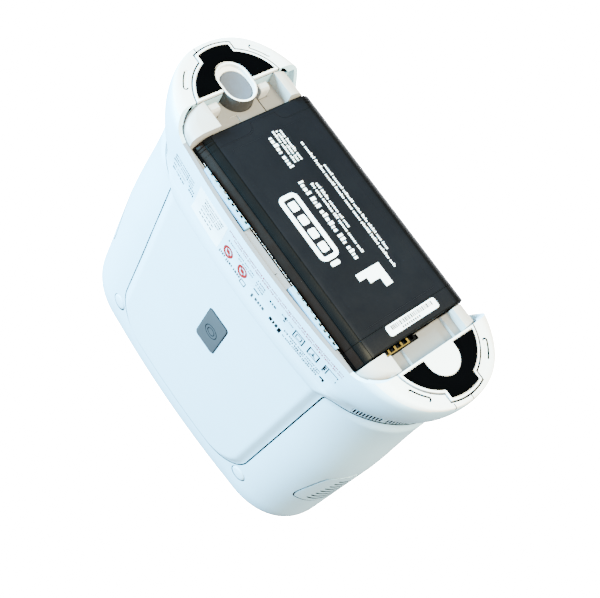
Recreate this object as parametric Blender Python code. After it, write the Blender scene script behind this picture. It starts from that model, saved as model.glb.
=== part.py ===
"""A portable oxygen concentrator that stands on two feet.

It has a lofted housing, a removable battery in the base, and the compressor, sieve columns, valves
and fan that it holds inside. Metres, +Z up, the badged face towards -Y.
"""

import math

import bmesh
import bpy
from mathutils import Matrix, Vector

# Overall size of the housing
HEIGHT = 0.249
WALL = 0.0024
GAP = 0.0004
LEFT, RIGHT = -1, 1
SIDES = {"left": LEFT, "right": RIGHT}

# Heights of the housing's cross-sections
FOOT_Z = 0.0008
BAND_Z = 0.0074
WAIST_Z = 0.0458
BODY_Z = 0.052
MIDDLE_Z = 0.127
SHOULDER_Z = 0.205

# Cross-sections: half width, half depth, length of the end caps, cap exponent, crown of the front
FOOT_SECTION = (0.116, 0.033, 0.037, 2.4, 0.0)
BAND_SECTION = (0.1175, 0.0445, 0.047, 2.0, 0.004)
WAIST_SECTION = (0.1116, 0.0426, 0.046, 1.85, 0.0043)
BODY_SECTION = (0.1122, 0.0402, 0.046, 1.9, 0.0027)
MIDDLE_SECTION = (0.1148, 0.0402, 0.048, 2.18, 0.0027)
SHOULDER_SECTION = (0.1142, 0.041, 0.048, 2.18, 0.0027)
TOP_DROP_Y = 0.034
TOP_DROP_X = 0.0344
CAP_STEPS = 7
FLAT_STEPS = 4

# Raised panels that rise from the base on the front and the rear
PANEL_RAISE = 0.0016
PANEL_HALF = 0.070
PANEL_TOP_HALF = 0.067
PANEL_TOP_Z = 0.203
PANEL_CORNER = 0.028

# Battery bay and cradle
BAY_END = 0.0859
BAY_CORNER = 0.010
RIM_Z = 0.009
REAR_RIM_Z, REAR_RIM_HALF = 0.0235, 0.0772
CRADLE_FLOOR_Z = 0.0097
CRADLE_TOP_Z = 0.0318
CHANNEL_HALF = 0.024
LEFT_CHANNEL_Z = 0.0070
REAR_ROUND_Y, REAR_ROUND_Z = (0.025, 0.037), (0.0014, 0.0158)
COMBS = {"right": (0.0165, 0.0545), "left": (-0.0585, -0.0205)}

# Battery
BATTERY_LEFT, BATTERY_RIGHT = -0.0723, 0.0684
BATTERY_HALF = 0.041
BATTERY_Z = (0.004, 0.028)
BATTERY_WALL = 0.0018
CAP_SEAM_LEFT, CAP_SEAM_RIGHT, CAP_SEAM_MIDDLE = -0.0618, 0.0598, 0.0658
LOBE_GAP = (-0.006, 0.010)

# Feet
FOOT_CENTRE = 0.0804
PAD_RADIUS, PAD_TAB_RADIUS, PAD_TAB_HALF, PAD_FLAT = 0.0265, 0.0312, 0.0099, 0.0876
PLATE_GROW = 0.0016
PLATE_Z = (0.0004, 0.0024)
PAD_TOP_Z = 0.0011
TOWER_X, TOWER_HALF_LENGTH, TOWER_HALF_WIDTH = 0.0884, 0.0130, 0.0100
TOWER_Z = (0.0006, 0.0155)
HOOK_Y = {"front": -0.0198, "rear": 0.0140}
TONGUE_LENGTH, TONGUE_HALF = 0.0133, 0.0106

# Front fittings
BADGE_SIZE, BADGE_Z = (0.017, 0.033), 0.101
SCREW_X, SCREW_Z, SCREW_RADIUS = 0.0686, 0.196, 0.0055
GRILLE_AT, GRILLE_ANGLE = (0.1122, -0.0150, 0.1475), math.radians(22)
GRILLE_SIZE = (0.022, 0.050)
VENT_AT, VENT_ANGLE = (0.0970, -0.0300, 0.0420), math.radians(57)
VENT_SIZE = (0.022, 0.0056)

# Top
DECK_SIZE, DECK_Z = (0.132, 0.030), (0.2425, 0.2472)
DISPLAY_SIZE = (0.046, 0.018)
BUTTON_RADIUS = 0.005
BUTTONS = {"power": -0.052, "minus": -0.037, "plus": 0.037, "mute": 0.052}
NOZZLE_X = -0.084

MATERIALS = {
    "shell_white": ((0.80, 0.87, 0.91), 0.38, 0.0),
    "foot_white": ((0.90, 0.90, 0.87), 0.42, 0.0),
    "cradle_white": ((0.82, 0.82, 0.80), 0.45, 0.0),
    "clip_blue": ((0.62, 0.74, 0.82), 0.4, 0.0),
    "badge_grey": ((0.14, 0.18, 0.22), 0.4, 0.2),
    "button_grey": ((0.36, 0.38, 0.41), 0.4, 0.0),
    "vent_grey": ((0.55, 0.58, 0.60), 0.5, 0.0),
    "pad_black": ((0.004, 0.004, 0.005), 0.8, 0.0),
    "battery_black": ((0.012, 0.012, 0.013), 0.35, 0.0),
    "label_black": ((0.02, 0.024, 0.028), 0.45, 0.0),
    "display_glass": ((0.01, 0.02, 0.03), 0.08, 0.0),
    "gold": ((0.83, 0.62, 0.18), 0.25, 1.0),
    "steel": ((0.62, 0.63, 0.65), 0.3, 1.0),
    "aluminium": ((0.72, 0.73, 0.75), 0.35, 1.0),
    "board_green": ((0.02, 0.16, 0.07), 0.5, 0.0),
    "cell_blue": ((0.05, 0.16, 0.42), 0.45, 0.0),
    "foam_grey": ((0.10, 0.10, 0.11), 0.95, 0.0),
    "tube_clear": ((0.75, 0.80, 0.82), 0.3, 0.0),
}


# ---------------------------------------------------------------- helpers


def clear_scene():
    for obj in list(bpy.data.objects):
        bpy.data.objects.remove(obj, do_unlink=True)


def material(name):
    found = bpy.data.materials.get(name)
    if found:
        return found
    colour, roughness, metallic = MATERIALS[name]
    made = bpy.data.materials.new(name)
    made.use_nodes = True
    shader = made.node_tree.nodes["Principled BSDF"]
    shader.inputs["Base Color"].default_value = (*colour, 1.0)
    shader.inputs["Roughness"].default_value = roughness
    shader.inputs["Metallic"].default_value = metallic
    return made


def add(name, bm, slot=None, smooth=True):
    """Makes the bmesh an object. With no slot it is a cutter, which isn't part of the model."""
    bmesh.ops.recalc_face_normals(bm, faces=bm.faces)
    mesh = bpy.data.meshes.new(name)
    bm.to_mesh(mesh)
    bm.free()
    obj = bpy.data.objects.new(name, mesh)
    bpy.context.scene.collection.objects.link(obj)
    if slot is None:
        obj.hide_render = True
        obj.display_type = "WIRE"
    else:
        mesh.materials.append(material(slot))
        if smooth:
            mesh.shade_smooth()
            mesh.set_sharp_from_angle(angle=math.radians(35))
    return obj


def combine(obj, other, operation):
    modifier = obj.modifiers.new(other.name, "BOOLEAN")
    modifier.operation = operation
    modifier.object = other
    modifier.solver = "EXACT"


def cut(obj, *cutters):
    for cutter in cutters:
        combine(obj, cutter, "DIFFERENCE")


def join(obj, *others):
    for other in others:
        combine(obj, other, "UNION")


def keep_inside(obj, other):
    combine(obj, other, "INTERSECT")


def prism(outline, low, high, axis="Z"):
    """A bmesh of the outline's points extruded between two values along an axis.

    Along Y the outline is (x, z), and along X it is (y, z).
    """
    place = {
        "Z": lambda a, b, c: (a, b, c),
        "Y": lambda a, b, c: (a, c, b),
        "X": lambda a, b, c: (c, a, b),
    }[axis]
    bm = bmesh.new()
    ends = [[bm.verts.new(place(a, b, c)) for a, b in outline] for c in (low, high)]
    skin(bm, ends)
    return bm


def skin(bm, rings):
    """Closes a stack of equal rings into one solid."""
    count = len(rings[0])
    for lower, upper in zip(rings, rings[1:]):
        for i in range(count):
            j = (i + 1) % count
            bm.faces.new((lower[i], lower[j], upper[j], upper[i]))
    bm.faces.new(rings[0])
    bm.faces.new(rings[-1])


def arc(cx, cy, radius, start, end, steps):
    """Points along an arc, in degrees, with both ends."""
    turns = [math.radians(start + (end - start) * i / steps) for i in range(steps + 1)]
    return [(cx + radius * math.cos(t), cy + radius * math.sin(t)) for t in turns]


def rounded_rect(width, height, radius, cx=0.0, cy=0.0, steps=3):
    points = []
    for sx, sy, start in ((1, 1, 0), (-1, 1, 90), (-1, -1, 180), (1, -1, 270)):
        corner = (cx + sx * (width / 2 - radius), cy + sy * (height / 2 - radius))
        points += arc(*corner, radius, start, start + 90, steps)
    return points


def circle(cx, cy, radius, steps=18):
    return arc(cx, cy, radius, 0, 360, steps)[:-1]


def box(low, high):
    x0, y0, z0 = low
    x1, y1, z1 = high
    return prism([(x0, y0), (x1, y0), (x1, y1), (x0, y1)], z0, z1)


def placed(bm, location, turn_z=0.0):
    bm.transform(Matrix.Translation(location) @ Matrix.Rotation(turn_z, 4, "Z"))
    return bm


# ---------------------------------------------------------------- housing surface


def blend(a, b, t):
    return tuple(u + (v - u) * t for u, v in zip(a, b))


def ease(t):
    return t * t * (3 - 2 * t)


def quarter(t):
    """How far a quarter ellipse has closed in when it has risen by t."""
    return 1 - math.sqrt(max(0.0, 1 - t * t))


def section(z):
    """The housing's cross-section at a height."""
    if z <= BAND_Z:
        rise = max(0.0, z - FOOT_Z) / (BAND_Z - FOOT_Z)
        return blend(FOOT_SECTION, BAND_SECTION, math.sqrt(1 - (1 - rise) ** 2))
    if z <= WAIST_Z:
        return blend(BAND_SECTION, WAIST_SECTION, ease((z - BAND_Z) / (WAIST_Z - BAND_Z)))
    if z <= BODY_Z:
        return blend(WAIST_SECTION, BODY_SECTION, ease((z - WAIST_Z) / (BODY_Z - WAIST_Z)))
    if z <= MIDDLE_Z:
        return blend(BODY_SECTION, MIDDLE_SECTION, (z - BODY_Z) / (MIDDLE_Z - BODY_Z))
    if z <= SHOULDER_Z:
        share = (z - MIDDLE_Z) / (SHOULDER_Z - MIDDLE_Z)
        return blend(MIDDLE_SECTION, SHOULDER_SECTION, share)
    half, depth, cap, power, crown = SHOULDER_SECTION
    shoulder_x = HEIGHT - TOP_DROP_X
    drop_y = TOP_DROP_Y * quarter((z - SHOULDER_Z) / (HEIGHT - SHOULDER_Z))
    drop_x = TOP_DROP_X * quarter(max(0.0, z - shoulder_x) / TOP_DROP_X)
    return (half - drop_x, depth - drop_y, cap - drop_x, power, crown)


def inset(shape, amount):
    half, depth, cap, power, crown = shape
    return (half - amount, depth - amount, cap - amount, power, crown)


def half_depth(shape, x):
    half, depth, cap, power, crown = shape
    straight = half - cap
    if abs(x) <= straight:
        return depth + crown * (1 - (x / straight) ** 2)
    reach = min(1.0, (abs(x) - straight) / cap)
    return depth * (1 - reach**power) ** (1 / power)


def outline_of(shape):
    """The cross-section's points: two super-elliptic ends and two crowned flats."""
    half, depth, cap, power, crown = shape
    straight = half - cap
    end = []
    for i in range(-CAP_STEPS, CAP_STEPS + 1):
        t = math.pi / 2 * i / CAP_STEPS
        x = straight + cap * abs(math.cos(t)) ** (2 / power)
        y = depth * math.copysign(abs(math.sin(t)) ** (2 / power), i)
        end.append((x, y))
    flat = []
    for i in range(1, FLAT_STEPS):
        x = straight * (1 - 2 * i / FLAT_STEPS)
        flat.append((x, half_depth(shape, x)))
    ring = end + flat
    return ring + [(-x, -y) for x, y in ring]


def loft(heights, grow=0.0):
    bm = bmesh.new()
    rings = []
    for z in heights:
        points = outline_of(inset(section(z), -grow))
        rings.append([bm.verts.new((x, y, z)) for x, y in points])
    skin(bm, rings)
    return bm


LOW_HEIGHTS = (FOOT_Z, 0.0011, 0.0018, 0.0032, 0.0050, BAND_Z, 0.018, 0.028, 0.038)
BODY_HEIGHTS = (0.049, BODY_Z, 0.085, MIDDLE_Z, 0.17, SHOULDER_Z, 0.216, 0.227, 0.236, 0.243)


def panel_outline(grow=0.0):
    """The raised panel seen from the front: a rounded top on two nearly upright sides."""
    side, top_side = PANEL_HALF + grow, PANEL_TOP_HALF + grow
    top, corner = PANEL_TOP_Z + grow, PANEL_CORNER + grow
    bend = arc(top_side - corner, top - corner, corner, 0, 90, 6)
    right = [(side, 0.040), (side, WAIST_Z), *bend]
    return right + [(-x, z) for x, z in reversed(right)]


# ---------------------------------------------------------------- housing


def bay_outline(shape, end, corner=BAY_CORNER, steps=12):
    """The bay's plan: the housing's own curve between two square ends with rounded corners."""
    points = []
    for i in range(-steps, steps + 1):
        x = end * math.sin(math.pi / 2 * i / steps)
        y = half_depth(shape, x)
        over = abs(x) - (end - corner)
        if over > 0:
            limit = half_depth(shape, end - corner) - corner
            y = min(y, limit + math.sqrt(max(0.0, corner**2 - over**2)))
        points.append((x, y))
    return [(x, -y) for x, y in points] + points[::-1]


def inner_space():
    """The hollow inside the housing, with a solid wall left at each end of the battery bay."""
    heights = (0.0052, BAND_Z, 0.02, 0.038, WAIST_Z, *BODY_HEIGHTS, 0.2465)
    hollow = add("cut_hollow", loft(heights, -WALL))
    for side, sign in SIDES.items():
        ends = sorted((sign * BAY_END, sign * (BAY_END + 0.0022)))
        wall = add(f"cut_wall_{side}", box((ends[0], -0.06, 0), (ends[1], 0.06, 0.0326)))
        cut(hollow, wall)
    return hollow


def base_housing(hollow, notch, recesses):
    housing = add("base_housing", loft((*LOW_HEIGHTS, WAIST_Z)), "shell_white")
    for side, sign in (("front", -1), ("rear", 1)):
        panel = add(f"tool_panel_{side}", loft((0.041, *BODY_HEIGHTS[:7]), PANEL_RAISE))
        reach = sorted((sign * 0.020, sign * 0.060))
        keep_inside(panel, add(f"tool_outline_{side}", prism(panel_outline(), *reach, axis="Y")))
        join(housing, panel)
    cut(housing, hollow)
    plan = bay_outline(inset(section(RIM_Z), WALL), BAY_END)
    cut(housing, add("cut_bay", prism(plan, -0.001, 0.033)))
    rim = [(-BAY_END, -0.001), (-BAY_END, FOOT_Z), (-0.073, RIM_Z), (0.073, RIM_Z)]
    rim += [(BAY_END, FOOT_Z), (BAY_END, -0.001)]
    cut(housing, add("cut_rim", prism(rim, -0.06, 0.06, axis="Y")))
    end, half, top = BAY_END, REAR_RIM_HALF, REAR_RIM_Z
    rear_rim = [(-end, -0.001), (-end, FOOT_Z), (-half, top), (half, top), (end, FOOT_Z), (end, -0.001)]
    cut(housing, add("cut_rear_rim", prism(rear_rim, 0.020, 0.06, axis="Y")))
    cut(housing, notch, *recesses)
    socket = placed(prism(circle(0, 0, 0.0066), 0.100, 0.125, axis="X"), (0, 0, 0.027))
    cut(housing, add("cut_socket", socket))
    width, height = BADGE_SIZE
    seat = rounded_rect(width + 2 * GAP, height + 2 * GAP, 0.003, cy=BADGE_Z)
    cut(housing, add("cut_badge", prism(seat, -0.050, -0.0436, axis="Y")))
    return housing


def shell_half(side, sign, hollow, openings):
    """The front or rear half of the upper housing, which wraps round both ends and over the top."""
    shell = add(f"{side}_shell", loft((WAIST_Z + GAP, *BODY_HEIGHTS, 0.247, HEIGHT)), "shell_white")
    cut(shell, hollow)
    reach = sorted((sign * 0.020, sign * 0.060))
    cut(shell, add(f"cut_panel_{side}", prism(panel_outline(GAP), *reach, axis="Y")))
    other = sorted((sign * -0.07, sign * 0.0002))
    cut(shell, add(f"cut_half_{side}", box((-0.13, other[0], 0), (0.13, other[1], 0.26))))
    for end, end_sign in SIDES.items():
        hole = placed(
            prism(circle(0, 0, SCREW_RADIUS + GAP), *sorted((sign * 0.03, sign * 0.05)), axis="Y"),
            (end_sign * SCREW_X, 0, SCREW_Z),
        )
        cut(shell, add(f"cut_screw_{side}_{end}", hole))
    cut(shell, *openings)
    return shell


def screw_cap(side, sign, end, end_sign):
    surface = half_depth(section(SCREW_Z), SCREW_X)
    reach = sorted((sign * (surface - 0.003), sign * surface))
    disc = prism(circle(0, 0, SCREW_RADIUS), *reach, axis="Y")
    add(f"screw_cap_{side}_{end}", placed(disc, (end_sign * SCREW_X, 0, SCREW_Z)), "shell_white")


def slanted_window(size, grow, slant, depth=0.012):
    """A window's cutter, upright and facing -X before it is turned, its ends slanted."""
    width, height = size[0] / 2 + grow, size[1] / 2 + grow
    rise = slant * width
    points = [(-width, -height - rise), (width, -height + rise), (width, height + rise)]
    points.append((-width, height - rise))
    return prism(points, -depth, depth, axis="X")


def slot_row(size, slant, slots, slot_width):
    """A row of slots for a window: stacked in an upright one, side by side in a wide one."""
    upright_window = size[1] > size[0]
    shape = (size[0] - 0.0045, slot_width) if upright_window else (slot_width, size[1] - 0.0018)
    row = bmesh.new()
    for i in range(slots):
        offset = (i - (slots - 1) / 2) * max(size) / slots
        opening = slanted_window(shape, 0, slant)
        opening.transform(Matrix.Translation((0, 0, offset) if upright_window else (0, offset, 0)))
        piece = bpy.data.meshes.new("slot")
        opening.to_mesh(piece)
        opening.free()
        row.from_mesh(piece)
        bpy.data.meshes.remove(piece)
    return row


def fitted_grille(name, at, angle, size, slant, slots, slot_width, heights, hollow):
    """An insert cut from the housing's own curve, with slanted slots, and the window it fits."""
    pieces = {}
    for side, sign in SIDES.items():
        place = ((sign * at[0], at[1], at[2]), -sign * angle)
        insert = add(f"{name}_{side}", loft(heights), "vent_grey")
        cut(insert, hollow)
        outline = placed(slanted_window(size, -GAP, slant), *place)
        keep_inside(insert, add(f"tool_{name}_{side}", outline))
        row = placed(slot_row(size, slant, slots, slot_width), *place)
        cut(insert, add(f"cut_slots_{name}_{side}", row))
        window = placed(slanted_window(size, 0, slant), *place)
        pieces[side] = add(f"cut_window_{name}_{side}", window)
    return list(pieces.values())


def front_badge():
    """A rounded plate with a raised plain ring, in the seat on the front panel."""
    width, height = BADGE_SIZE
    plate = prism(rounded_rect(width, height, 0.003, cy=BADGE_Z), -0.0452, -0.0440, axis="Y")
    badge = add("front_badge", plate, "badge_grey")
    ring = prism(circle(0, BADGE_Z, 0.0045), -0.0455, -0.0446, axis="Y")
    join(badge, add("tool_badge_ring", ring))
    cut(badge, add("cut_badge_ring", prism(circle(0, BADGE_Z, 0.003), -0.0470, -0.0448, axis="Y")))


# ---------------------------------------------------------------- top


def top_deck():
    deck = add("top_deck", prism(rounded_rect(*DECK_SIZE, 0.008), *DECK_Z), "button_grey")
    width, depth = DISPLAY_SIZE
    seat = prism(rounded_rect(width + 2 * GAP, depth + 2 * GAP, 0.002), 0.2459, 0.26)
    cut(deck, add("cut_display", seat))
    add("display_window", prism(rounded_rect(width, depth, 0.002), 0.2462, 0.2471), "display_glass")
    for name, x in BUTTONS.items():
        cut(deck, add(f"cut_{name}", prism(circle(x, 0, BUTTON_RADIUS + GAP), 0.24, 0.26)))
        disc = prism(circle(0, 0, BUTTON_RADIUS), -0.0062, 0.0012)
        button = add(f"{name}_button", disc, "foot_white")
        button.location = (x, 0, DECK_Z[1])
    return deck


def turned(profile, steps=16):
    """A solid of revolution about Z from (radius, height) points that run up its outer side."""
    bm = bmesh.new()
    rings = []
    for radius, z in profile:
        rings.append([bm.verts.new((x, y, z)) for x, y in circle(0, 0, radius, steps)])
    skin(bm, rings)
    return bm


def outlet():
    barb = [(0.0080, 0.2320), (0.0080, 0.2470), (0.0073, 0.2470), (0.0073, 0.2352), (0.0030, 0.2354)]
    barb += [(0.0030, 0.2420), (0.0036, 0.2422), (0.0028, 0.2450), (0.0034, 0.2452), (0.0024, 0.2484)]
    nozzle = add("outlet_nozzle", placed(turned(barb), (NOZZLE_X, 0, 0)), "steel")
    cut(nozzle, add("cut_nozzle", prism(circle(NOZZLE_X, 0, 0.0014, 10), 0.230, 0.26)))
    seal = add("nozzle_seal", prism(circle(NOZZLE_X, 0, 0.0064), 0.2359, 0.2378), "pad_black")
    cut(seal, add("cut_seal", prism(circle(NOZZLE_X, 0, 0.0038), 0.23, 0.24)))


def dc_socket():
    body = placed(prism(circle(0, 0, 0.0062), 0.103, 0.1128, axis="X"), (0, 0, 0.027))
    socket = add("dc_socket", body, "pad_black")
    bore = placed(prism(circle(0, 0, 0.0040), 0.106, 0.125, axis="X"), (0, 0, 0.027))
    cut(socket, add("cut_dc_bore", bore))


# ---------------------------------------------------------------- feet and latch


def foot_outline(sign, grow=0.0):
    """A foot's plan: part of a disc cut off by the bay, with a tab that reaches further out."""
    radius, tab_radius = PAD_RADIUS + grow, PAD_TAB_RADIUS + grow
    half, flat = PAD_TAB_HALF + grow, PAD_FLAT - grow
    end = math.degrees(math.acos((flat - FOOT_CENTRE) / radius))
    notch = math.degrees(math.asin(half / radius))
    tab = math.degrees(math.asin(half / tab_radius))
    points = arc(FOOT_CENTRE, 0, radius, -end, -notch, 5)
    points += arc(FOOT_CENTRE, 0, tab_radius, -tab, tab, 4)
    points += arc(FOOT_CENTRE, 0, radius, notch, end, 5)
    return [(sign * x, y) for x, y in points]


def stadium(cx, half_length, half_width, steps=8):
    middle = half_length - half_width
    right = arc(cx + middle, 0, half_width, -90, 90, steps)
    return right + arc(cx - middle, 0, half_width, 90, 270, steps)


def feet(notch):
    recesses = []
    for side, sign in SIDES.items():
        plan = foot_outline(sign, PLATE_GROW)
        plate = add(f"foot_plate_{side}", prism(plan, *PLATE_Z), "foot_white")
        seat = add(f"cut_pad_seat_{side}", prism(foot_outline(sign, GAP), -0.001, PAD_TOP_Z + GAP))
        pad = add(f"foot_pad_{side}", prism(foot_outline(sign), 0.0, PAD_TOP_Z), "pad_black")
        if side == "right":
            middle, length, width = TOWER_X, TOWER_HALF_LENGTH, TOWER_HALF_WIDTH
            cut(plate, notch)
        else:
            middle, length, width = -PAD_FLAT, TONGUE_LENGTH, TONGUE_HALF
            cut(seat, add("tool_tongue", prism(stadium(middle, length, width), -0.02, 0.02)))
        clear = stadium(middle, length + 2 * GAP, width + 2 * GAP)
        cut(pad, add(f"cut_pad_{side}", prism(clear, -0.01, 0.01)))
        cut(plate, seat)
        recess = prism(foot_outline(sign, PLATE_GROW + GAP), -0.001, PLATE_Z[1] + GAP)
        recesses.append(add(f"cut_foot_{side}", recess))
    return recesses


def latch():
    """The tower round the release button, the button, its spring and the hooks that it draws in."""
    outer = stadium(TOWER_X, TOWER_HALF_LENGTH, TOWER_HALF_WIDTH)
    tower = add("latch_tower", prism(outer, *TOWER_Z), "foot_white")
    bore = stadium(TOWER_X, TOWER_HALF_LENGTH - 0.0016, TOWER_HALF_WIDTH - 0.0016)
    cut(tower, add("cut_tower", prism(bore, -0.001, 0.0138)))
    shape = stadium(0, TOWER_HALF_LENGTH - 0.0021, TOWER_HALF_WIDTH - 0.0021)
    button = add("latch_button", prism(shape, -0.0034, 0.0034), "button_grey")
    button.location = (TOWER_X, 0, 0.0056)
    spring()
    for side, y in HOOK_Y.items():
        profile = [(-0.0028, 0.0040), (-0.0028, -0.0026), (-0.0014, -0.0042)]
        profile += [(0.0022, -0.0042), (0.0022, 0.0040)]
        hook = add(f"latch_hook_{side}", prism(profile, -0.003, 0.003, axis="Y"), "foot_white")
        hook.location = (0.0812, y, 0.0066)


def spring():
    """The button's return spring: a round wire wound in a helix of three turns."""
    low, high, radius, wire, turns, steps = 0.0097, 0.0131, 0.0036, 0.0003, 3, 12
    curve = bpy.data.curves.new("latch_spring", "CURVE")
    curve.dimensions = "3D"
    curve.bevel_depth = wire
    curve.bevel_resolution = 0
    curve.use_fill_caps = True
    line = curve.splines.new("POLY")
    line.points.add(turns * steps)
    for i, point in enumerate(line.points):
        turn = 2 * math.pi * i / steps
        z = low + (high - low) * i / (turns * steps)
        point.co = (TOWER_X + radius * math.cos(turn), radius * math.sin(turn), z, 1)
    obj = bpy.data.objects.new("latch_spring", curve)
    curve.materials.append(material("steel"))
    bpy.context.scene.collection.objects.link(obj)


# ---------------------------------------------------------------- cradle


def cradle(notch):
    """The tray that the battery sits in.

    Its front follows the housing, its rear blocks are rounded like the battery, and it has a
    channel at each end.
    """
    bm = bmesh.new()
    rings = []
    end = BAY_END - GAP
    for z in (0.0012, 0.0022, 0.0040, 0.0058, BAND_Z + 0.001, CRADLE_TOP_Z):
        shape = inset(section(min(z + 0.0006, RIM_Z)), WALL + GAP)
        rings.append([bm.verts.new((x, y, z)) for x, y in bay_outline(shape, end)])
    skin(bm, rings)
    tray = add("battery_cradle", bm, "cradle_white")
    pocket = rounded_rect(
        BATTERY_RIGHT - BATTERY_LEFT + 0.0010,
        2 * BATTERY_HALF + 0.0012,
        0.0006,
        cx=(BATTERY_LEFT + BATTERY_RIGHT) / 2,
    )
    cut(tray, add("cut_pocket", prism(pocket, -0.001, 0.0292)))
    low, high = (BATTERY_LEFT - 0.0012, -0.06, -0.001), (BATTERY_RIGHT + 0.0008, 0.06, CRADLE_FLOOR_Z)
    cut(tray, add("cut_sides", box(low, high)))
    low, high = (0.060, -CHANNEL_HALF, -0.001), (0.09, CHANNEL_HALF, CRADLE_FLOOR_Z)
    cut(tray, add("cut_channel_right", box(low, high)))
    low, high = (-0.09, -CHANNEL_HALF, -0.001), (-0.065, CHANNEL_HALF, LEFT_CHANNEL_Z)
    cut(tray, add("cut_channel_left", box(low, high)))
    cut(tray, add("cut_rear_round", prism(rear_round(), -0.09, 0.09, axis="X")))
    for i, (low, high) in enumerate(((-0.0205, -0.0140), (0.0125, 0.0190))):
        cut(tray, add(f"cut_groove_{i}", box((-0.09, low, -0.001), (-0.065, high, 0.0092))))
    for side, y in HOOK_Y.items():
        low, high = (0.0778, y - 0.0035, 0.0), (0.0856, y + 0.0035, 0.0136)
        cut(tray, add(f"cut_hook_well_{side}", box(low, high)))
    cut(tray, add("cut_connector", box((-0.0762, -0.0262, -0.001), (-0.070, 0.0, 0.0205))))
    for side, (x0, x1) in COMBS.items():
        low, high = (x0 - GAP, -0.0448, -0.001), (x1 + GAP, -0.0405, 0.0110)
        cut(tray, add(f"cut_comb_{side}", box(low, high)))
    cut(tray, notch)


def rear_round():
    """The space outside the rounded rear of the tray's end blocks, up to the rear rim, as (y, z)."""
    (y0, y1), (z0, z1) = REAR_ROUND_Y, REAR_ROUND_Z
    turns = [math.radians(90 * i / 6) for i in range(7)]
    curve = [(y0 + (y1 - y0) * math.sin(t), z1 - (z1 - z0) * math.cos(t)) for t in turns]
    return [(y0, -0.001), *curve, (y1, REAR_RIM_Z), (0.06, REAR_RIM_Z), (0.06, -0.001)]


def comb(name, x0, x1):
    """A clip strip along the battery's front edge, toothed on the battery's side."""
    pitch, tooth = 0.0038, 0.0020
    inner, root = -0.0415, -0.0422
    wall = inset(section(RIM_Z), WALL + GAP)
    steps = [x1 + (x0 - x1) * i / 4 for i in range(5)]
    points = [(x, -min(0.0444, half_depth(wall, x))) for x in steps] + [(x0, inner)]
    x = x0 + tooth
    while x + pitch < x1:
        gap_end = x + pitch - tooth
        points += [(x, inner), (x, root), (gap_end, root), (gap_end, inner)]
        x += pitch
    points.append((x1, inner))
    add(name, prism(points, 0.0078, 0.0106), "clip_blue", smooth=False)


def bay_connector():
    block = box((-0.0757, -0.0257, 0.0078), (-0.0730, -0.0005, 0.0200))
    add("bay_connector", block, "pad_black", smooth=False)
    spine, tip, blade, pitch = -0.0754, -0.0727, 0.0012, 0.0044
    points = [(spine, -0.0245)]
    for i in range(5):
        y = -0.0245 + i * pitch
        points += [(spine + 0.0006, y), (tip, y), (tip, y + blade), (spine + 0.0006, y + blade)]
    points.append((spine, points[-1][1]))
    add("bay_contacts", prism(points, 0.0071, 0.0074), "gold", smooth=False)


# ---------------------------------------------------------------- battery


def slab_profile(shrink=0.0, steps=5):
    """The battery's cross-section across its length: a slab whose long edges are rounded."""
    low, high = BATTERY_Z[0] + shrink, BATTERY_Z[1] - shrink
    half, radius = BATTERY_HALF - shrink, 0.0118 - shrink
    return rounded_rect(2 * half, high - low, radius, cy=(low + high) / 2, steps=steps)


def battery_shape(name, slot, low, high):
    return add(name, prism(slab_profile(), low, high, axis="X"), slot)


def right_cap_region(grow):
    """The plan of the right end cap: two lobes that reach in along the case, and a step between."""
    seam, middle = CAP_SEAM_RIGHT - grow, CAP_SEAM_MIDDLE - grow
    low, high = LOBE_GAP[0] + grow, LOBE_GAP[1] - grow
    points = [(0.08, -0.05), (0.08, 0.05), (seam, 0.05), (seam, high), (middle, high), (middle, low)]
    return [*points, (seam, low), (seam, -0.05)]


def battery():
    hollow = add("cut_case", prism(slab_profile(BATTERY_WALL), -0.0702, 0.0664, axis="X"))
    case = battery_shape("battery_case", "battery_black", CAP_SEAM_LEFT, BATTERY_RIGHT - 0.0001)
    cut(case, add("cut_case_end", prism(right_cap_region(GAP), 0.0, 0.04)), hollow)
    plate = rounded_rect(0.114, 0.052, 0.002, cx=-0.0015)
    seat = rounded_rect(0.1148, 0.0528, 0.0024, cx=-0.0015)
    cut(case, add("cut_label", prism(seat, 0.0, 0.0049)))
    add("battery_label_plate", prism(plate, 0.0041, 0.0046), "label_black")
    left = battery_shape("battery_cap_left", "battery_black", BATTERY_LEFT, CAP_SEAM_LEFT - 0.0003)
    contact_slot = box((-0.08, -0.0250, 0.0068), (-0.0716, -0.0012, 0.0190))
    cut(left, hollow, add("cut_contact_slot", contact_slot))
    right = battery_shape("battery_cap_right", "battery_black", 0.055, BATTERY_RIGHT)
    keep_inside(right, add("tool_right_cap", prism(right_cap_region(0), 0.0, 0.04)))
    cut(right, hollow)
    cell_pack()


def cell_pack():
    """Eight cells in two rows of four, welded and wrapped into one block."""
    radius, pitch, half_angle, count, steps = 0.0091, 0.0184, 62, 4, 4
    middle = sum(BATTERY_Z) / 2
    centres = [(i - (count - 1) / 2) * pitch for i in range(count)]
    top, bottom = [], []
    for i, y in enumerate(centres):
        start = -90 if i == 0 else -half_angle
        end = 90 if i == count - 1 else half_angle
        top += arc(y, middle, radius, 90 - start, 90 - end, steps)
        bottom += arc(y, middle, radius, 270 + start, 270 + end, steps)
    outline = top[:-1] + bottom[::-1][:-1]
    add("cell_pack", prism(outline, -0.0675, 0.0635, axis="X"), "cell_blue")


# ---------------------------------------------------------------- inside


def upright(name, x, y, radius, low, high, slot, steps=16):
    return add(name, prism(circle(x, y, radius, steps), low, high), slot)


def chassis():
    plate = add("chassis_plate", prism(rounded_rect(0.190, 0.068, 0.012), 0.0334, 0.0352), "aluminium")
    cut(plate, add("cut_chassis", prism(rounded_rect(0.030, 0.020, 0.004, cx=-0.086), 0.03, 0.04)))


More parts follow.
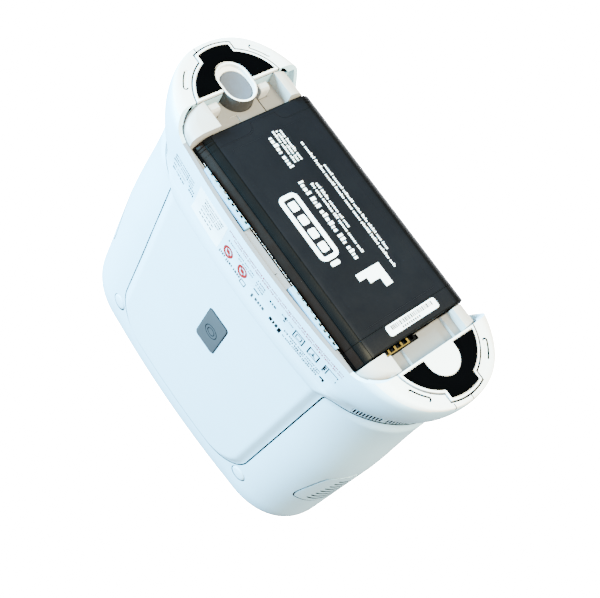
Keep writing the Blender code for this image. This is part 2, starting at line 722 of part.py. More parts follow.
def compressor():
    """A twin-head compressor: motor, crankcase with two heads, and the crank wheel at its end."""
    axle_z = 0.068
    motor = prism(circle(0, axle_z, 0.0205, 18), -0.060, -0.018, axis="X")
    add("compressor_motor", motor, "steel")
    casting = box((-0.016, -0.026, 0.0358), (0.022, 0.026, 0.092))
    block = add("compressor_block", casting, "aluminium", smooth=False)
    for i, y in enumerate((-0.0125, 0.0125)):
        join(block, add(f"tool_head_{i}", prism(circle(0.003, y, 0.0115, 16), 0.088, 0.112)))
    cut(block, add("cut_axle", prism(circle(0, axle_z, 0.0034, 12), 0.010, 0.03, axis="X")))
    wheel = add("crank_wheel", prism(circle(0, 0, 0.017, 20), 0.0, 0.0055, axis="X"), "steel")
    axle = prism(circle(0, 0, 0.0030, 12), -0.0105, 0.001, axis="X")
    join(wheel, add("tool_axle", placed(axle, (0.0245, 0, axle_z))))
    weight = [(y, z) for y, z in arc(0, 0, 0.0150, 200, 340, 8)]
    counterweight = prism(weight, 0.004, 0.0085, axis="X")
    join(wheel, add("tool_weight", placed(counterweight, (0.0245, 0, axle_z))))
    wheel.location = (0.0245, 0, axle_z)


def gas_circuit():
    for side, x in (("inner", 0.052), ("outer", 0.0875)):
        upright(f"sieve_column_{side}", x, 0, 0.0163, 0.0360, 0.1950, "aluminium")
    manifold = rounded_rect(0.0690, 0.0330, 0.006, cx=0.0698)
    add("column_manifold", prism(manifold, 0.1955, 0.2050), "cradle_white")
    add("valve_block", prism(rounded_rect(0.052, 0.022, 0.002, cx=0.0660), 0.2055, 0.2150), "aluminium")
    for side, x in (("inner", 0.053), ("outer", 0.079)):
        upright(f"solenoid_{side}", x, 0, 0.0062, 0.2155, 0.2310, "pad_black", 14)
    upright("product_tank", -0.0850, 0, 0.0150, 0.0360, 0.1480, "aluminium")
    path = [(-0.085, 0, 0.1485), (-0.085, 0, 0.165), (-0.079, 0, 0.190)]
    tube("oxygen_tube", [*path, (-0.084, 0, 0.215), (-0.084, 0, 0.2315)])
    path = [(0.003, -0.0125, 0.1125), (0.003, -0.0125, 0.140), (0.006, -0.008, 0.175)]
    tube("air_tube", [*path, (0.016, -0.002, 0.199), (0.0345, 0, 0.2003)])


def tube(name, route, radius=0.0028):
    """A bent tube along a smooth curve through the route's points."""
    curve = bpy.data.curves.new(name, "CURVE")
    curve.dimensions = "3D"
    curve.bevel_depth = radius
    curve.bevel_resolution = 2
    curve.resolution_u = 4
    curve.use_fill_caps = True
    line = curve.splines.new("BEZIER")
    line.bezier_points.add(len(route) - 1)
    for point, place in zip(line.bezier_points, route):
        point.co = place
        point.handle_left_type = point.handle_right_type = "AUTO"
    curve.materials.append(material("tube_clear"))
    obj = bpy.data.objects.new(name, curve)
    bpy.context.scene.collection.objects.link(obj)


def fan():
    """An axial fan that faces along X: a square frame with three struts, and a rotor on its hub."""
    x0, x1, z, size, bore = -0.060, -0.046, 0.170, 0.056, 0.0262
    outline = rounded_rect(size, size, 0.004, cy=z)
    frame = add("fan_frame", prism(outline, x0, x1, axis="X"), "pad_black")
    tunnel = prism(circle(0, z, bore, 24), x0 + 0.0016, x1 + 0.01, axis="X")
    cut(frame, add("cut_fan_tunnel", tunnel))
    for i in range(3):
        bend = arc(0, 0, bore - 0.001, i * 120 + 8, i * 120 + 112, 6)
        bend += arc(0, 0, 0.011, i * 120 + 104, i * 120 + 16, 4)
        window = placed(prism(bend, x0 - 0.005, x0 + 0.005, axis="X"), (0, 0, z))
        cut(frame, add(f"cut_fan_window_{i}", window))
    rotor = add("fan_rotor", prism(circle(0, 0, 0.0100, 18), -0.0050, 0.0050, axis="X"), "foam_grey")
    rotor.location = ((x0 + x1) / 2 + 0.0008, 0, z)
    for i in range(7):
        outline = [(-0.004, -0.0045), (-0.003, -0.0045), (0.004, 0.0045), (0.003, 0.0045)]
        blade = prism(outline, 0.0085, 0.0245, axis="Z")
        blade.transform(Matrix.Rotation(2 * math.pi * i / 7, 4, "X"))
        join(rotor, add(f"tool_blade_{i}", placed(blade, rotor.location)))


def electronics():
    add("main_board", box((-0.060, 0.0318, 0.058), (0.060, 0.0334, 0.185)), "board_green", smooth=False)
    upright("alarm_buzzer", 0, 0, 0.0085, 0.2300, 0.2360, "pad_black")
    inward = Vector((-math.cos(GRILLE_ANGLE), math.sin(GRILLE_ANGLE), 0))
    at = Vector((GRILLE_AT[0], GRILLE_AT[1], 0)) + 0.0085 * inward
    pad = box((-0.0015, -0.006, -0.030), (0.0015, 0.006, 0.030))
    filter_pad = placed(pad, (-at.x, at.y, GRILLE_AT[2]), GRILLE_ANGLE)
    add("intake_filter", filter_pad, "foam_grey", smooth=False)


def build():
    clear_scene()
    hollow = inner_space()
    grown = stadium(TOWER_X, TOWER_HALF_LENGTH + GAP, TOWER_HALF_WIDTH + GAP)
    notch = add("cut_tower_notch", prism(grown, -0.002, TOWER_Z[1] + GAP))
    recesses = feet(notch)
    heights = (*LOW_HEIGHTS, WAIST_Z)
    louvres = fitted_grille(
        "waist_vent", VENT_AT, VENT_ANGLE, VENT_SIZE, 0.0, 7, 0.0014, heights, hollow
    )
    base_housing(hollow, notch, recesses + louvres)
    heights = (WAIST_Z + 2 * GAP, *BODY_HEIGHTS[:6])
    windows = fitted_grille(
        "side_grille", GRILLE_AT, GRILLE_ANGLE, GRILLE_SIZE, 0.26, 8, 0.0034, heights, hollow
    )
    deck_hole = rounded_rect(DECK_SIZE[0] + 2 * GAP, DECK_SIZE[1] + 2 * GAP, 0.0084)
    top_holes = [
        add("cut_deck", prism(deck_hole, 0.235, 0.26)),
        add("cut_nozzle_well", prism(circle(NOZZLE_X, 0, 0.0086), 0.235, 0.26)),
    ]
    shell_half("front", -1, hollow, windows + top_holes)
    shell_half("rear", 1, hollow, top_holes)
    for face, sign in (("front", -1), ("rear", 1)):
        for end, end_sign in SIDES.items():
            screw_cap(face, sign, end, end_sign)
    front_badge()
    top_deck()
    outlet()
    dc_socket()
    latch()
    cradle(notch)
    for side, (x0, x1) in COMBS.items():
        comb(f"comb_front_{side}", x0, x1)
    bay_connector()
    battery()
    chassis()
    compressor()
    gas_circuit()
    fan()
    electronics()


build()
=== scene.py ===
"""The looks of a portable oxygen concentrator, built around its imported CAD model."""
import math

import bmesh
import bpy
import numpy as np
from mathutils import Matrix, Vector


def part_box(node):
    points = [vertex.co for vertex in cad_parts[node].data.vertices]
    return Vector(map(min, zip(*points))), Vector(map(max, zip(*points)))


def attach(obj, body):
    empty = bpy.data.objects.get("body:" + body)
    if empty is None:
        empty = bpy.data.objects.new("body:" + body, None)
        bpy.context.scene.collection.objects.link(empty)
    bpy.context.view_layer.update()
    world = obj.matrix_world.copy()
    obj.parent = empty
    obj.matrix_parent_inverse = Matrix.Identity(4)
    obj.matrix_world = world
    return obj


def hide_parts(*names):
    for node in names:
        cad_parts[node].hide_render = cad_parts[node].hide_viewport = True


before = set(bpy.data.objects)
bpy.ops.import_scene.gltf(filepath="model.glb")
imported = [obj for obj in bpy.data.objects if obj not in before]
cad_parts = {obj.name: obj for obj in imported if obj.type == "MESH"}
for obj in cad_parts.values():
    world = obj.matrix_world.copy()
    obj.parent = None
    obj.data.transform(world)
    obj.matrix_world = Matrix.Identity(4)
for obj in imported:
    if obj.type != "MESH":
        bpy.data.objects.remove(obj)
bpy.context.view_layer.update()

SIDES = {"left": -1, "right": 1}
FACES = {"front": -1, "rear": 1}
GAP = 0.0004
WALL = 0.0024

# Housing sections: half width, half depth, length of the end caps, cap exponent, crown
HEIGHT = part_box("front_shell")[1].z
FOOT_Z, BAND_Z, CREASE_Z, WAIST_Z = 0.0008, 0.0074, 0.0385, 0.0458
BODY_Z, MIDDLE_Z, SHOULDER_Z = 0.052, 0.127, 0.205
FOOT_SECTION = (0.116, 0.033, 0.037, 2.4, 0.0)
BAND_SECTION = (0.1175, 0.0445, 0.047, 2.0, 0.004)
CREASE_SECTION = (0.1120, 0.0415, 0.0425, 1.58, 0.0050)
WAIST_SECTION = (0.1108, 0.0412, 0.042, 1.58, 0.0050)
BODY_SECTION = (0.1122, 0.0399, 0.046, 1.9, 0.0027)
MIDDLE_SECTION = (0.1148, 0.0399, 0.048, 2.18, 0.0027)
SHOULDER_SECTION = (0.1142, 0.0408, 0.048, 2.18, 0.0027)
TOP_DROP_Y, TOP_DROP_X = 0.034, 0.0344

# Raised panels and their soft ramp
RAISE, RAMP = 0.0030, 0.0066
PANEL_HALF, PANEL_TOP_HALF, PANEL_TOP_Z, PANEL_CORNER, KNEE = 0.070, 0.067, 0.203, 0.028, 0.008

# Bay, battery and feet, as in the CAD
BAY_END, BAY_CORNER, RIM_Z = 0.0859, 0.0135, 0.009
REAR_RIM_Z, REAR_RIM_HALF = 0.0235, 0.0772
REAR_ROUND_Y, REAR_ROUND_Z = (0.025, 0.037), (0.0014, 0.0158)
FOOT_CENTRE = 0.0804
PAD_RADIUS, PAD_TAB_RADIUS, PAD_TAB_HALF, PAD_FLAT = 0.0265, 0.0312, 0.0099, 0.0876
TOWER_X, TOWER_LENGTH, TOWER_WIDTH = 0.0884, 0.0130, 0.0100
TONGUE_LENGTH, TONGUE_HALF = 0.0133, 0.0106
NOZZLE_X, SOCKET_Z = -0.084, 0.027
SLOT_INNER, SLOT_OUTER, SLOT_TURNS = 0.0309, 0.0333, (42.5, 60.5)
FOOT_LIP, FOOT_GAP = 0.0016, 0.0010
UNDER = -0.001  # where a cut from below starts
SEAM, GRILLE_GAP, LOUVRE_GAP = 0.0010, 0.0015, 0.0003
SCREW_X, SCREW_Z, SCREW_RADIUS = 0.0686, 0.196, 0.0055


# ---------------------------------------------------------------- materials


def link(tree, source, output, target, socket):
    tree.links.new(source.outputs[output], target.inputs[socket])


def noise_node(tree, scale, detail, roughness=0.5):
    node = tree.nodes.new("ShaderNodeTexNoise")
    node.inputs["Scale"].default_value = scale
    node.inputs["Detail"].default_value = detail
    node.inputs["Roughness"].default_value = roughness
    return node


def make_material(name, colour, rough, drift, haze, grain, more):
    """Moulded material: its tone drifts slowly, its gloss is hazy in patches and its grain is fine."""
    mat = bpy.data.materials.new(name)
    mat.use_nodes = True
    tree = mat.node_tree
    shader = tree.nodes["Principled BSDF"]
    place = tree.nodes.new("ShaderNodeTexCoord")
    stretch = tree.nodes.new("ShaderNodeMapping")
    stretch.inputs["Scale"].default_value = more.get("stretch", (1, 1, 1))
    link(tree, place, "Object", stretch, "Vector")
    tone = noise_node(tree, more.get("tone_scale", 24), 4)
    ramp = tree.nodes.new("ShaderNodeValToRGB")
    ramp.color_ramp.elements[0].position = 0.3
    ramp.color_ramp.elements[1].position = 0.7
    for element, factor in zip(ramp.color_ramp.elements, (1 - drift, 1 + drift)):
        element.color = (*(min(1.0, c * factor) for c in colour), 1)
    link(tree, stretch, "Vector", tone, "Vector")
    link(tree, tone, "Fac", ramp, "Fac")
    link(tree, ramp, "Color", shader, "Base Color")
    patches = noise_node(tree, 140, 5, 0.6)
    gloss = tree.nodes.new("ShaderNodeMapRange")
    gloss.inputs["From Min"].default_value = 0.3
    gloss.inputs["From Max"].default_value = 0.7
    gloss.inputs["To Min"].default_value = max(0.02, rough - haze)
    gloss.inputs["To Max"].default_value = rough + haze
    link(tree, stretch, "Vector", patches, "Vector")
    link(tree, patches, "Fac", gloss, "Value")
    link(tree, gloss, "Result", shader, "Roughness")
    fine = noise_node(tree, grain[0], 2)
    bump = tree.nodes.new("ShaderNodeBump")
    bump.inputs["Strength"].default_value = grain[1]
    bump.inputs["Distance"].default_value = 0.0002
    link(tree, stretch, "Vector", fine, "Vector")
    link(tree, fine, "Fac", bump, "Height")
    link(tree, bump, "Normal", shader, "Normal")
    for key, value in more.items():
        if key in shader.inputs:
            shader.inputs[key].default_value = value
    return mat


PLAIN = {}
DULL = {"Specular IOR Level": 0.0}
SATIN = {"Specular IOR Level": 0.045}
SOFT = {"Specular IOR Level": 0.2}
METAL = {"Metallic": 1.0}
BRUSHED = {"Metallic": 1.0, "stretch": (1, 1, 8)}

# Key: name, colour, roughness, drift of the tone, haze, grain (scale, strength), further inputs
MATERIALS = {
    "shell": ("shell_plastic", (0.50, 0.74, 0.86), 0.42, 0.012, 0.05, (2200, 0.05), PLAIN),
    # seam: painted shade for the walls inside gaps, grooves, slots and holes
    "seam": ("seam_shadow", (0.0012, 0.0012, 0.0014), 0.9, 0.1, 0.05, (2400, 0.1), DULL),
    # foot: the warm white of the foot plates, also used to paint the warm light from below on the soles
    "foot": ("foot_plastic", (0.88, 0.86, 0.83), 0.45, 0.012, 0.05, (2400, 0.06), PLAIN),
    # rim: a grey that paints the shade on the downward face of the bay's rim
    "rim": ("rim_painted_shade", (0.165, 0.17, 0.185), 0.5, 0.02, 0.05, (2400, 0.08), SOFT),
    # cradle: the tray's pale plastic, its tone lowered to paint the shade inside the bay
    "cradle": ("cradle_plastic_and_shade", (0.46, 0.43, 0.40), 0.5, 0.02, 0.06, (2400, 0.08), PLAIN),
    # cradle floor: painted shade for the floor deep in the bay
    "cradle_floor_painted_shade": ("cradle_floor_painted_shade", (0.135, 0.120, 0.106), 0.6, 0.03, 0.06, (2400, 0.08), SOFT),
    "clip": ("clip_plastic", (0.17, 0.40, 0.58), 0.42, 0.02, 0.05, (2400, 0.06), SOFT),
    "badge": ("badge_satin", (0.055, 0.05, 0.052), 0.42, 0.04, 0.05, (3200, 0.12), SATIN),
    # painted shade on the badge's side walls and ring grooves
    "badge_wall_painted_shade": ("badge_wall_painted_shade", (0.012, 0.012, 0.014), 0.4, 0.04, 0.05, (3200, 0.1), SATIN),
    "button": ("button_satin", (0.070, 0.074, 0.088), 0.45, 0.02, 0.05, (2800, 0.10), SATIN),
    "tower": ("tower_plastic", (0.80, 0.78, 0.75), 0.45, 0.02, 0.05, (2400, 0.08), PLAIN),
    # painted shade for the outward sides of the latch tower
    "tower_side_painted_shade": ("tower_side_painted_shade", (0.036, 0.033, 0.032), 0.45, 0.03, 0.05, (2400, 0.08), SOFT),
    "vent": ("vent_plastic", (0.30, 0.38, 0.43), 0.48, 0.02, 0.05, (2400, 0.08), SOFT),
    "pad": ("pad_rubber", (0.0006, 0.0006, 0.0007), 0.9, 0.15, 0.06, (1800, 0.1), DULL),
    "battery": ("battery_plastic", (0.0016, 0.0015, 0.0015), 0.36, 0.1, 0.07, (2600, 0.12), SATIN),
    "battery_face": ("battery_face", (0.0030, 0.0031, 0.0040), 0.40, 0.2, 0.07, (2600, 0.10), SATIN),
    # painted reflection: the brown cast on the rib along the battery's front edge
    "battery_rib_painted_reflection": ("battery_rib_painted_reflection", (0.0060, 0.0034, 0.0025), 0.34, 0.12, 0.07, (2600, 0.10), SATIN),
    "print_white": ("print_white", (0.95, 0.95, 0.95), 0.5, 0.02, 0.05, (3000, 0.05), PLAIN),
    "print_dark": ("print_dark", (0.0018, 0.0018, 0.0020), 0.55, 0.1, 0.05, (3000, 0.05), DULL),
    "print_grey": ("print_grey", (0.030, 0.034, 0.038), 0.55, 0.06, 0.05, (3000, 0.05), SOFT),
    "print_red": ("print_red", (0.24, 0.006, 0.006), 0.55, 0.06, 0.05, (3000, 0.05), SOFT),
    "print_pink": ("print_pink", (0.30, 0.012, 0.016), 0.55, 0.06, 0.05, (3000, 0.05), SOFT),
    "label": ("label_film", (0.95, 0.95, 0.95), 0.5, 0.01, 0.05, (3000, 0.05), PLAIN),
    "glass": ("display_glass", (0.006, 0.010, 0.014), 0.08, 0.1, 0.03, (300, 0.01), PLAIN),
    "gold": ("contact_gold", (0.12, 0.08, 0.02), 0.45, 0.05, 0.08, (2600, 0.08), METAL),
    "steel": ("turned_steel", (0.62, 0.63, 0.65), 0.3, 0.05, 0.08, (900, 0.12), BRUSHED),
    "aluminium": ("cast_aluminium", (0.70, 0.71, 0.73), 0.42, 0.06, 0.08, (1400, 0.2), METAL),
    "board": ("board_lacquer", (0.02, 0.15, 0.07), 0.4, 0.25, 0.1, (700, 0.2), {"tone_scale": 300}),
    "wrap": ("cell_wrap", (0.05, 0.15, 0.40), 0.35, 0.1, 0.08, (900, 0.1), PLAIN),
    "foam": ("filter_foam", (0.03, 0.03, 0.035), 0.95, 0.3, 0.03, (900, 0.9), {"tone_scale": 700}),
    "tube": ("silicone_tube", (0.72, 0.77, 0.80), 0.35, 0.03, 0.06, (1200, 0.05), PLAIN),
}
M = {key: make_material(*row) for key, row in MATERIALS.items()}
SHELL_MATS = ("shell", "seam", "rim", "foot")
TRAY_MATS = ("cradle", "seam", "cradle_floor_painted_shade", "rim")


# ---------------------------------------------------------------- mesh helpers


def add(name, bm, mats=(), smooth=30.0, dark=False):
    """Makes the bmesh an object. A dark cutter leaves walls painted in shade, since they take the second
    material.
    """
    bmesh.ops.recalc_face_normals(bm, faces=bm.faces)
    mesh = bpy.data.meshes.new(name)
    bm.to_mesh(mesh)
    bm.free()
    obj = bpy.data.objects.new(name, mesh)
    bpy.context.scene.collection.objects.link(obj)
    for mat in SHELL_MATS if dark else [mats] if isinstance(mats, str) else mats:
        mesh.materials.append(M[mat])
    if mesh.materials:
        mesh.shade_smooth()
        mesh.set_sharp_from_angle(angle=math.radians(smooth))
    for face in mesh.polygons if dark else ():
        face.material_index = 1
    return obj


def combine(obj, operation, *others):
    for other in others:
        modifier = obj.modifiers.new(other.name, "BOOLEAN")
        modifier.operation = operation
        modifier.object = other
        modifier.solver = "EXACT"


def freeze(obj, smooth=30.0):
    """Applies the object's modifiers and shades it again."""
    bpy.context.view_layer.update()
    graph = bpy.context.evaluated_depsgraph_get()
    mesh = bpy.data.meshes.new_from_object(obj.evaluated_get(graph))
    old = obj.data
    obj.modifiers.clear()
    obj.data = mesh
    mesh.name = obj.name
    bpy.data.meshes.remove(old)
    mesh.shade_smooth()
    mesh.set_sharp_from_angle(angle=math.radians(smooth))
    return obj


def drop(*objs):
    for obj in objs:
        bpy.data.objects.remove(obj, do_unlink=True)


def carve(obj, *cutters):
    """Cuts the cutters out of the object and removes them."""
    combine(obj, "DIFFERENCE", *cutters)
    freeze(obj)
    drop(*cutters)


def round_edges(obj, width=0.0003, segments=2, angle=40.0):
    modifier = obj.modifiers.new("round", "BEVEL")
    modifier.width = width
    modifier.segments = segments
    modifier.limit_method = "ANGLE"
    modifier.angle_limit = math.radians(angle)
    modifier.harden_normals = False
    modifier.miter_outer = "MITER_ARC"
    return obj


def settle(obj, node=None, body="concentrator"):
    """Puts a piece on its body, and in the place of its CAD node."""
    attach(obj, body)
    if node:
        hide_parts(node)
    return obj


PLACE = {
    "Z": lambda a, b, c: (a, b, c),
    "Y": lambda a, b, c: (a, c, b),
    "X": lambda a, b, c: (c, a, b),
}


def add_skin(bm, rings, caps=True):
    count = len(rings[0])
    for lower, upper in zip(rings, rings[1:]):
        for i in range(count):
            j = (i + 1) % count
            bm.faces.new((lower[i], lower[j], upper[j], upper[i]))
    if caps:
        bm.faces.new(rings[0][::-1])
        bm.faces.new(rings[-1])


def prism(outline, low, high, axis="Z", bm=None):
    bm = bm or bmesh.new()
    place = PLACE[axis]
    add_skin(bm, [[bm.verts.new(place(a, b, c)) for a, b in outline] for c in (low, high)])
    return bm


def stack(levels, axis="Z", bm=None):
    """A solid through several outlines of one point count: levels are (outline, position)."""
    bm = bm or bmesh.new()
    place = PLACE[axis]
    add_skin(bm, [[bm.verts.new(place(a, b, c)) for a, b in outline] for outline, c in levels])
    return bm


def arc(cx, cy, radius, start, end, steps):
    turns = [math.radians(start + (end - start) * i / steps) for i in range(steps + 1)]
    return [(cx + radius * math.cos(t), cy + radius * math.sin(t)) for t in turns]


def mirrored(line):
    """A line of (x, z) points and its mirror image, as one closed outline."""
    return line + [(-x, z) for x, z in reversed(line)]


def rounded_rect(width, height, radius, cx=0.0, cy=0.0, steps=8):
    points = []
    for sx, sy, start in ((1, 1, 0), (-1, 1, 90), (-1, -1, 180), (1, -1, 270)):
        corner = (cx + sx * (width / 2 - radius), cy + sy * (height / 2 - radius))
        points += arc(*corner, radius, start, start + 90, steps)
    return points


def circle(cx, cy, radius, steps=48):
    return arc(cx, cy, radius, 0, 360, steps)[:-1]


def stadium(cx, half_length, half_width):
    middle = half_length - half_width
    right = arc(cx + middle, 0, half_width, -90, 90, 20)
    return right + arc(cx - middle, 0, half_width, 90, 270, 20)


def box_outline(low, high):
    return [(low[0], low[1]), (high[0], low[1]), (high[0], high[1]), (low[0], high[1])]


def box(low, high, bm=None):
    return prism(box_outline(low, high), low[2], high[2], bm=bm)


def turned(profile, steps=48, bm=None, x=0.0, y=0.0):
    """A solid of revolution about an upright axis from (radius, height) points."""
    return stack([(circle(x, y, radius, steps), z) for radius, z in profile], bm=bm)


def moved(bm, location, turn_z=0.0):
    bm.transform(Matrix.Translation(location) @ Matrix.Rotation(turn_z, 4, "Z"))
    return bm


def add_slab(bm, place, us, vs, heights):
    """A closed slab with a grid of faces on both sides, so that it follows a curved surface."""
    layers = [[[bm.verts.new(place(u, v, height)) for v in vs] for u in us] for height in heights]
    across, along = len(us) - 1, len(vs) - 1
    for layer in layers:
        for a, b in zip(layer, layer[1:]):
            for j in range(along):
                bm.faces.new((a[j], b[j], b[j + 1], a[j + 1]))
    edge = [(i, 0) for i in range(across)] + [(across, j) for j in range(along)]
    edge += [(i, along) for i in range(across, 0, -1)] + [(0, j) for j in range(along, 0, -1)]
    top, bottom = layers
    for (a, b), (c, d) in zip(edge, edge[1:] + edge[:1]):
        bm.faces.new((top[a][b], top[c][d], bottom[c][d], bottom[a][b]))
    return bm


def ring_band(outer, inner, low, high, bm=None, axis="Z"):
    """A closed band between two outlines of one point count."""
    bm = bm or bmesh.new()
    place = PLACE[axis]
    loops = [(outer, low), (outer, high), (inner, high), (inner, low)]
    rings = [[bm.verts.new(place(a, b, c)) for a, b in outline] for outline, c in loops]
    add_skin(bm, rings + rings[:1], caps=False)
    return bm


# ---------------------------------------------------------------- housing surface


def ease(t):
    t = min(1.0, max(0.0, t))
    return t * t * (3 - 2 * t)


def quarter(t):
    return 1 - math.sqrt(max(0.0, 1 - t * t))


def blend(a, b, t):
    return tuple(u + (v - u) * t for u, v in zip(a, b))


def section(z):
    if z <= BAND_Z:
        rise = max(0.0, z - FOOT_Z) / (BAND_Z - FOOT_Z)
        return blend(FOOT_SECTION, BAND_SECTION, math.sqrt(1 - (1 - rise) ** 2))
    if z <= CREASE_Z:
        return blend(BAND_SECTION, CREASE_SECTION, ((z - BAND_Z) / (CREASE_Z - BAND_Z)) ** 2)
    if z <= WAIST_Z:
        return blend(CREASE_SECTION, WAIST_SECTION, (z - CREASE_Z) / (WAIST_Z - CREASE_Z))
    if z <= BODY_Z:
        return blend(WAIST_SECTION, BODY_SECTION, ease((z - WAIST_Z) / (BODY_Z - WAIST_Z)))
    if z <= MIDDLE_Z:
        return blend(BODY_SECTION, MIDDLE_SECTION, ease((z - BODY_Z) / (MIDDLE_Z - BODY_Z)))
    if z <= SHOULDER_Z:
        share = (z - MIDDLE_Z) / (SHOULDER_Z - MIDDLE_Z)
        return blend(MIDDLE_SECTION, SHOULDER_SECTION, share)
    half, depth, cap, power, crown = SHOULDER_SECTION
    drop_y = TOP_DROP_Y * quarter((z - SHOULDER_Z) / (HEIGHT - SHOULDER_Z))
    drop_x = TOP_DROP_X * quarter(max(0.0, z - (HEIGHT - TOP_DROP_X)) / TOP_DROP_X)
    return (half - drop_x, depth - drop_y, cap - drop_x, power, crown)


def inset(shape, amount):
    half, depth, cap, power, crown = shape
    return (half - amount, depth - amount, cap - amount, power, crown)


def half_depth(shape, x):
    half, depth, cap, power, crown = shape
    straight = half - cap
    if abs(x) <= straight:
        return depth + crown * (1 - (x / straight) ** 2)
    reach = min(1.0, (abs(x) - straight) / cap)
    return depth * (1 - reach**power) ** (1 / power)


def ring_points(shape, flats, caps, soften):
    half, depth, cap, power, crown = shape
    straight = half - cap
    turn = np.linspace(-math.pi / 2, math.pi / 2, 2 * caps + 1)
    cap_x = straight + cap * np.abs(np.cos(turn)) ** (2 / power)
    cap_y = depth * np.sign(turn) * np.abs(np.sin(turn)) ** (2 / power)
    s = np.linspace(1, -1, flats + 1)[1:-1]
    flat_x = straight * (0.6 * s + 0.4 * np.sin(math.pi / 2 * s))
    flat_y = depth + crown * (1 - (flat_x / straight) ** 2)
    right = np.stack([np.concatenate([cap_x, flat_x]), np.concatenate([cap_y, flat_y])], 1)
    ring = np.concatenate([right, -right])
    for _ in range(soften):
        ring = (np.roll(ring, 1, 0) + 2 * ring + np.roll(ring, -1, 0)) / 4
    return ring


def panel_line(grow=0.0):
    """The parting line between the base with its raised panels and the upper shells, as (x, z)."""
    side, top_side = PANEL_HALF - grow, PANEL_TOP_HALF - grow
    top, corner, waist, knee = PANEL_TOP_Z - grow, PANEL_CORNER - grow, WAIST_Z - grow, KNEE + grow
    right = [(0.13, -0.01), (0.13, waist)]
    right += arc(side + knee, waist + knee, knee, 270, 180, 8)
    right += arc(top_side - corner, top - corner, corner, 0, 90, 12)
    return mirrored(right)


def distance_inside(x, z, line):
    """How far each point lies inside the closed line, negative outside."""
    a = np.array(line)
    b = np.roll(a, -1, axis=0)
    span = b - a
    p = np.stack([x, z], 1)[:, None]
    t = np.clip(((p - a) * span).sum(2) / (span**2).sum(1), 0, 1)
    gap = np.linalg.norm(p - (a + t[..., None] * span), axis=2).min(1)
    rise = np.where(span[:, 1] == 0, 1e-12, span[:, 1])
    crossing = (a[:, 1] > p[..., 1]) != (b[:, 1] > p[..., 1])
    crossing &= p[..., 0] < span[:, 0] * (p[..., 1] - a[:, 1]) / rise + a[:, 0]
    return np.where(crossing.sum(1) % 2 == 1, gap, -gap)


def relief(x, z):
    """How far the surface stands proud of the plain sections: the raised panels with their soft ramps."""
    ramp = np.clip(distance_inside(x, z, panel_line()) / RAMP, 0, 1)
    ramp = 0.45 * ramp + 0.55 * ramp * ramp * (3 - 2 * ramp)
    fade = np.clip((z - 0.028) / 0.015, 0, 1)
    fade = fade * fade * (3 - 2 * fade)
    side = np.clip((np.abs(x) - PANEL_HALF) / 0.014, 0, 1)
    return RAISE * ramp * fade * (1 - side)


def loft(heights, grow=0.0, flats=72, caps=26, soften=4, raised=True):
    layers = []
    for z in heights:
        ring = ring_points(inset(section(z), -grow), flats, caps, soften)
        if raised:
            along = np.roll(ring, -1, 0) - np.roll(ring, 1, 0)
            out = np.stack([along[:, 1], -along[:, 0]], 1)
            out /= np.linalg.norm(out, axis=1)[:, None]
            ring = ring + out * relief(ring[:, 0], np.full(len(ring), z))[:, None]
        layers.append([(x, y, z) for x, y in ring])
    bm = bmesh.new()
    add_skin(bm, [[bm.verts.new(p) for p in layer] for layer in layers])
    return bm


def surface_y(x, z, face=-1):
    """The y of the finished front or rear surface."""
    lift = relief(np.array([x]), np.array([z]))[0]
    return face * (half_depth(section(z), x) + lift)


def steps_between(low, high, count):
    return [low + (high - low) * i / count for i in range(count)]


FOOT_LEVELS = [FOOT_Z + (BAND_Z - FOOT_Z) * (1 - math.cos(math.pi / 2 * i / 10)) for i in range(10)]
CREASE_LOW, CREASE_HIGH = CREASE_Z - 0.0003, CREASE_Z + 0.0003
BAND_LEVELS = steps_between(BAND_Z, 0.030, 8) + steps_between(0.030, CREASE_LOW, 5)
BAND_LEVELS += steps_between(CREASE_LOW, CREASE_HIGH, 2) + steps_between(CREASE_HIGH, WAIST_Z, 5)
WAIST_LEVELS = steps_between(WAIST_Z, 0.056, 10)
BODY_LEVELS = steps_between(0.056, 0.165, 24) + steps_between(0.165, 0.186, 9)
BODY_LEVELS += steps_between(0.186, SHOULDER_Z, 20)
TOP_LEVELS = [SHOULDER_Z + (HEIGHT - SHOULDER_Z) * math.sin(math.pi / 2 * i / 26) for i in range(27)]
COARSE_LEVELS = [BAND_Z, 0.02, 0.038, WAIST_Z, 0.049, BODY_Z, 0.085, MIDDLE_Z, 0.17, SHOULDER_Z]
COARSE_LEVELS += [0.216, 0.227, 0.236, 0.243, 0.2465]


def hollow_space():
    space = add("cut_hollow", loft([0.0052, *COARSE_LEVELS], -WALL, 16, 10, 0, False))
    walls = bmesh.new()
    for sign in SIDES.values():
        low, high = sorted((sign * BAY_END, sign * (BAY_END + 0.0022)))
        box((low, -0.06, 0), (high, 0.06, 0.0326), walls)
    wall = add("cut_walls", walls)
    carve(space, wall)
    return space


def bay_outline(shape, end):
    """The plan of the bay: the section's own curve with rounded corners at both ends."""
    points, corner, steps = [], BAY_CORNER, 60
    limit = half_depth(shape, end - corner) - corner
    for i in range(-steps, steps + 1):
        x = end * math.sin(math.pi / 2 * i / steps)
        y = half_depth(shape, x)
        over = abs(x) - (end - corner)
        if over > 0:
            y = min(y, limit + math.sqrt(max(0.0, corner**2 - over**2)))
        points.append((x, y))
    return [(x, -y) for x, y in points] + points[::-1]


# ---------------------------------------------------------------- feet


def foot_outline(sign, grow=0.0):
    """A foot pad's plan: a cut-off disc with a tab at its outer end."""
    radius, tab_radius = PAD_RADIUS + grow, PAD_TAB_RADIUS + grow
    half, flat = PAD_TAB_HALF + grow, PAD_FLAT - grow
    end = math.degrees(math.acos((flat - FOOT_CENTRE) / radius))
    notch = math.degrees(math.asin(half / radius))
    tab = math.degrees(math.asin(half / tab_radius))
    points = arc(FOOT_CENTRE, 0, radius, -end, -notch, 20)
    points += arc(FOOT_CENTRE, 0, tab_radius, -tab, tab, 20)
    points += arc(FOOT_CENTRE, 0, radius, notch, end, 20)
    return [(sign * x, y) for x, y in points]


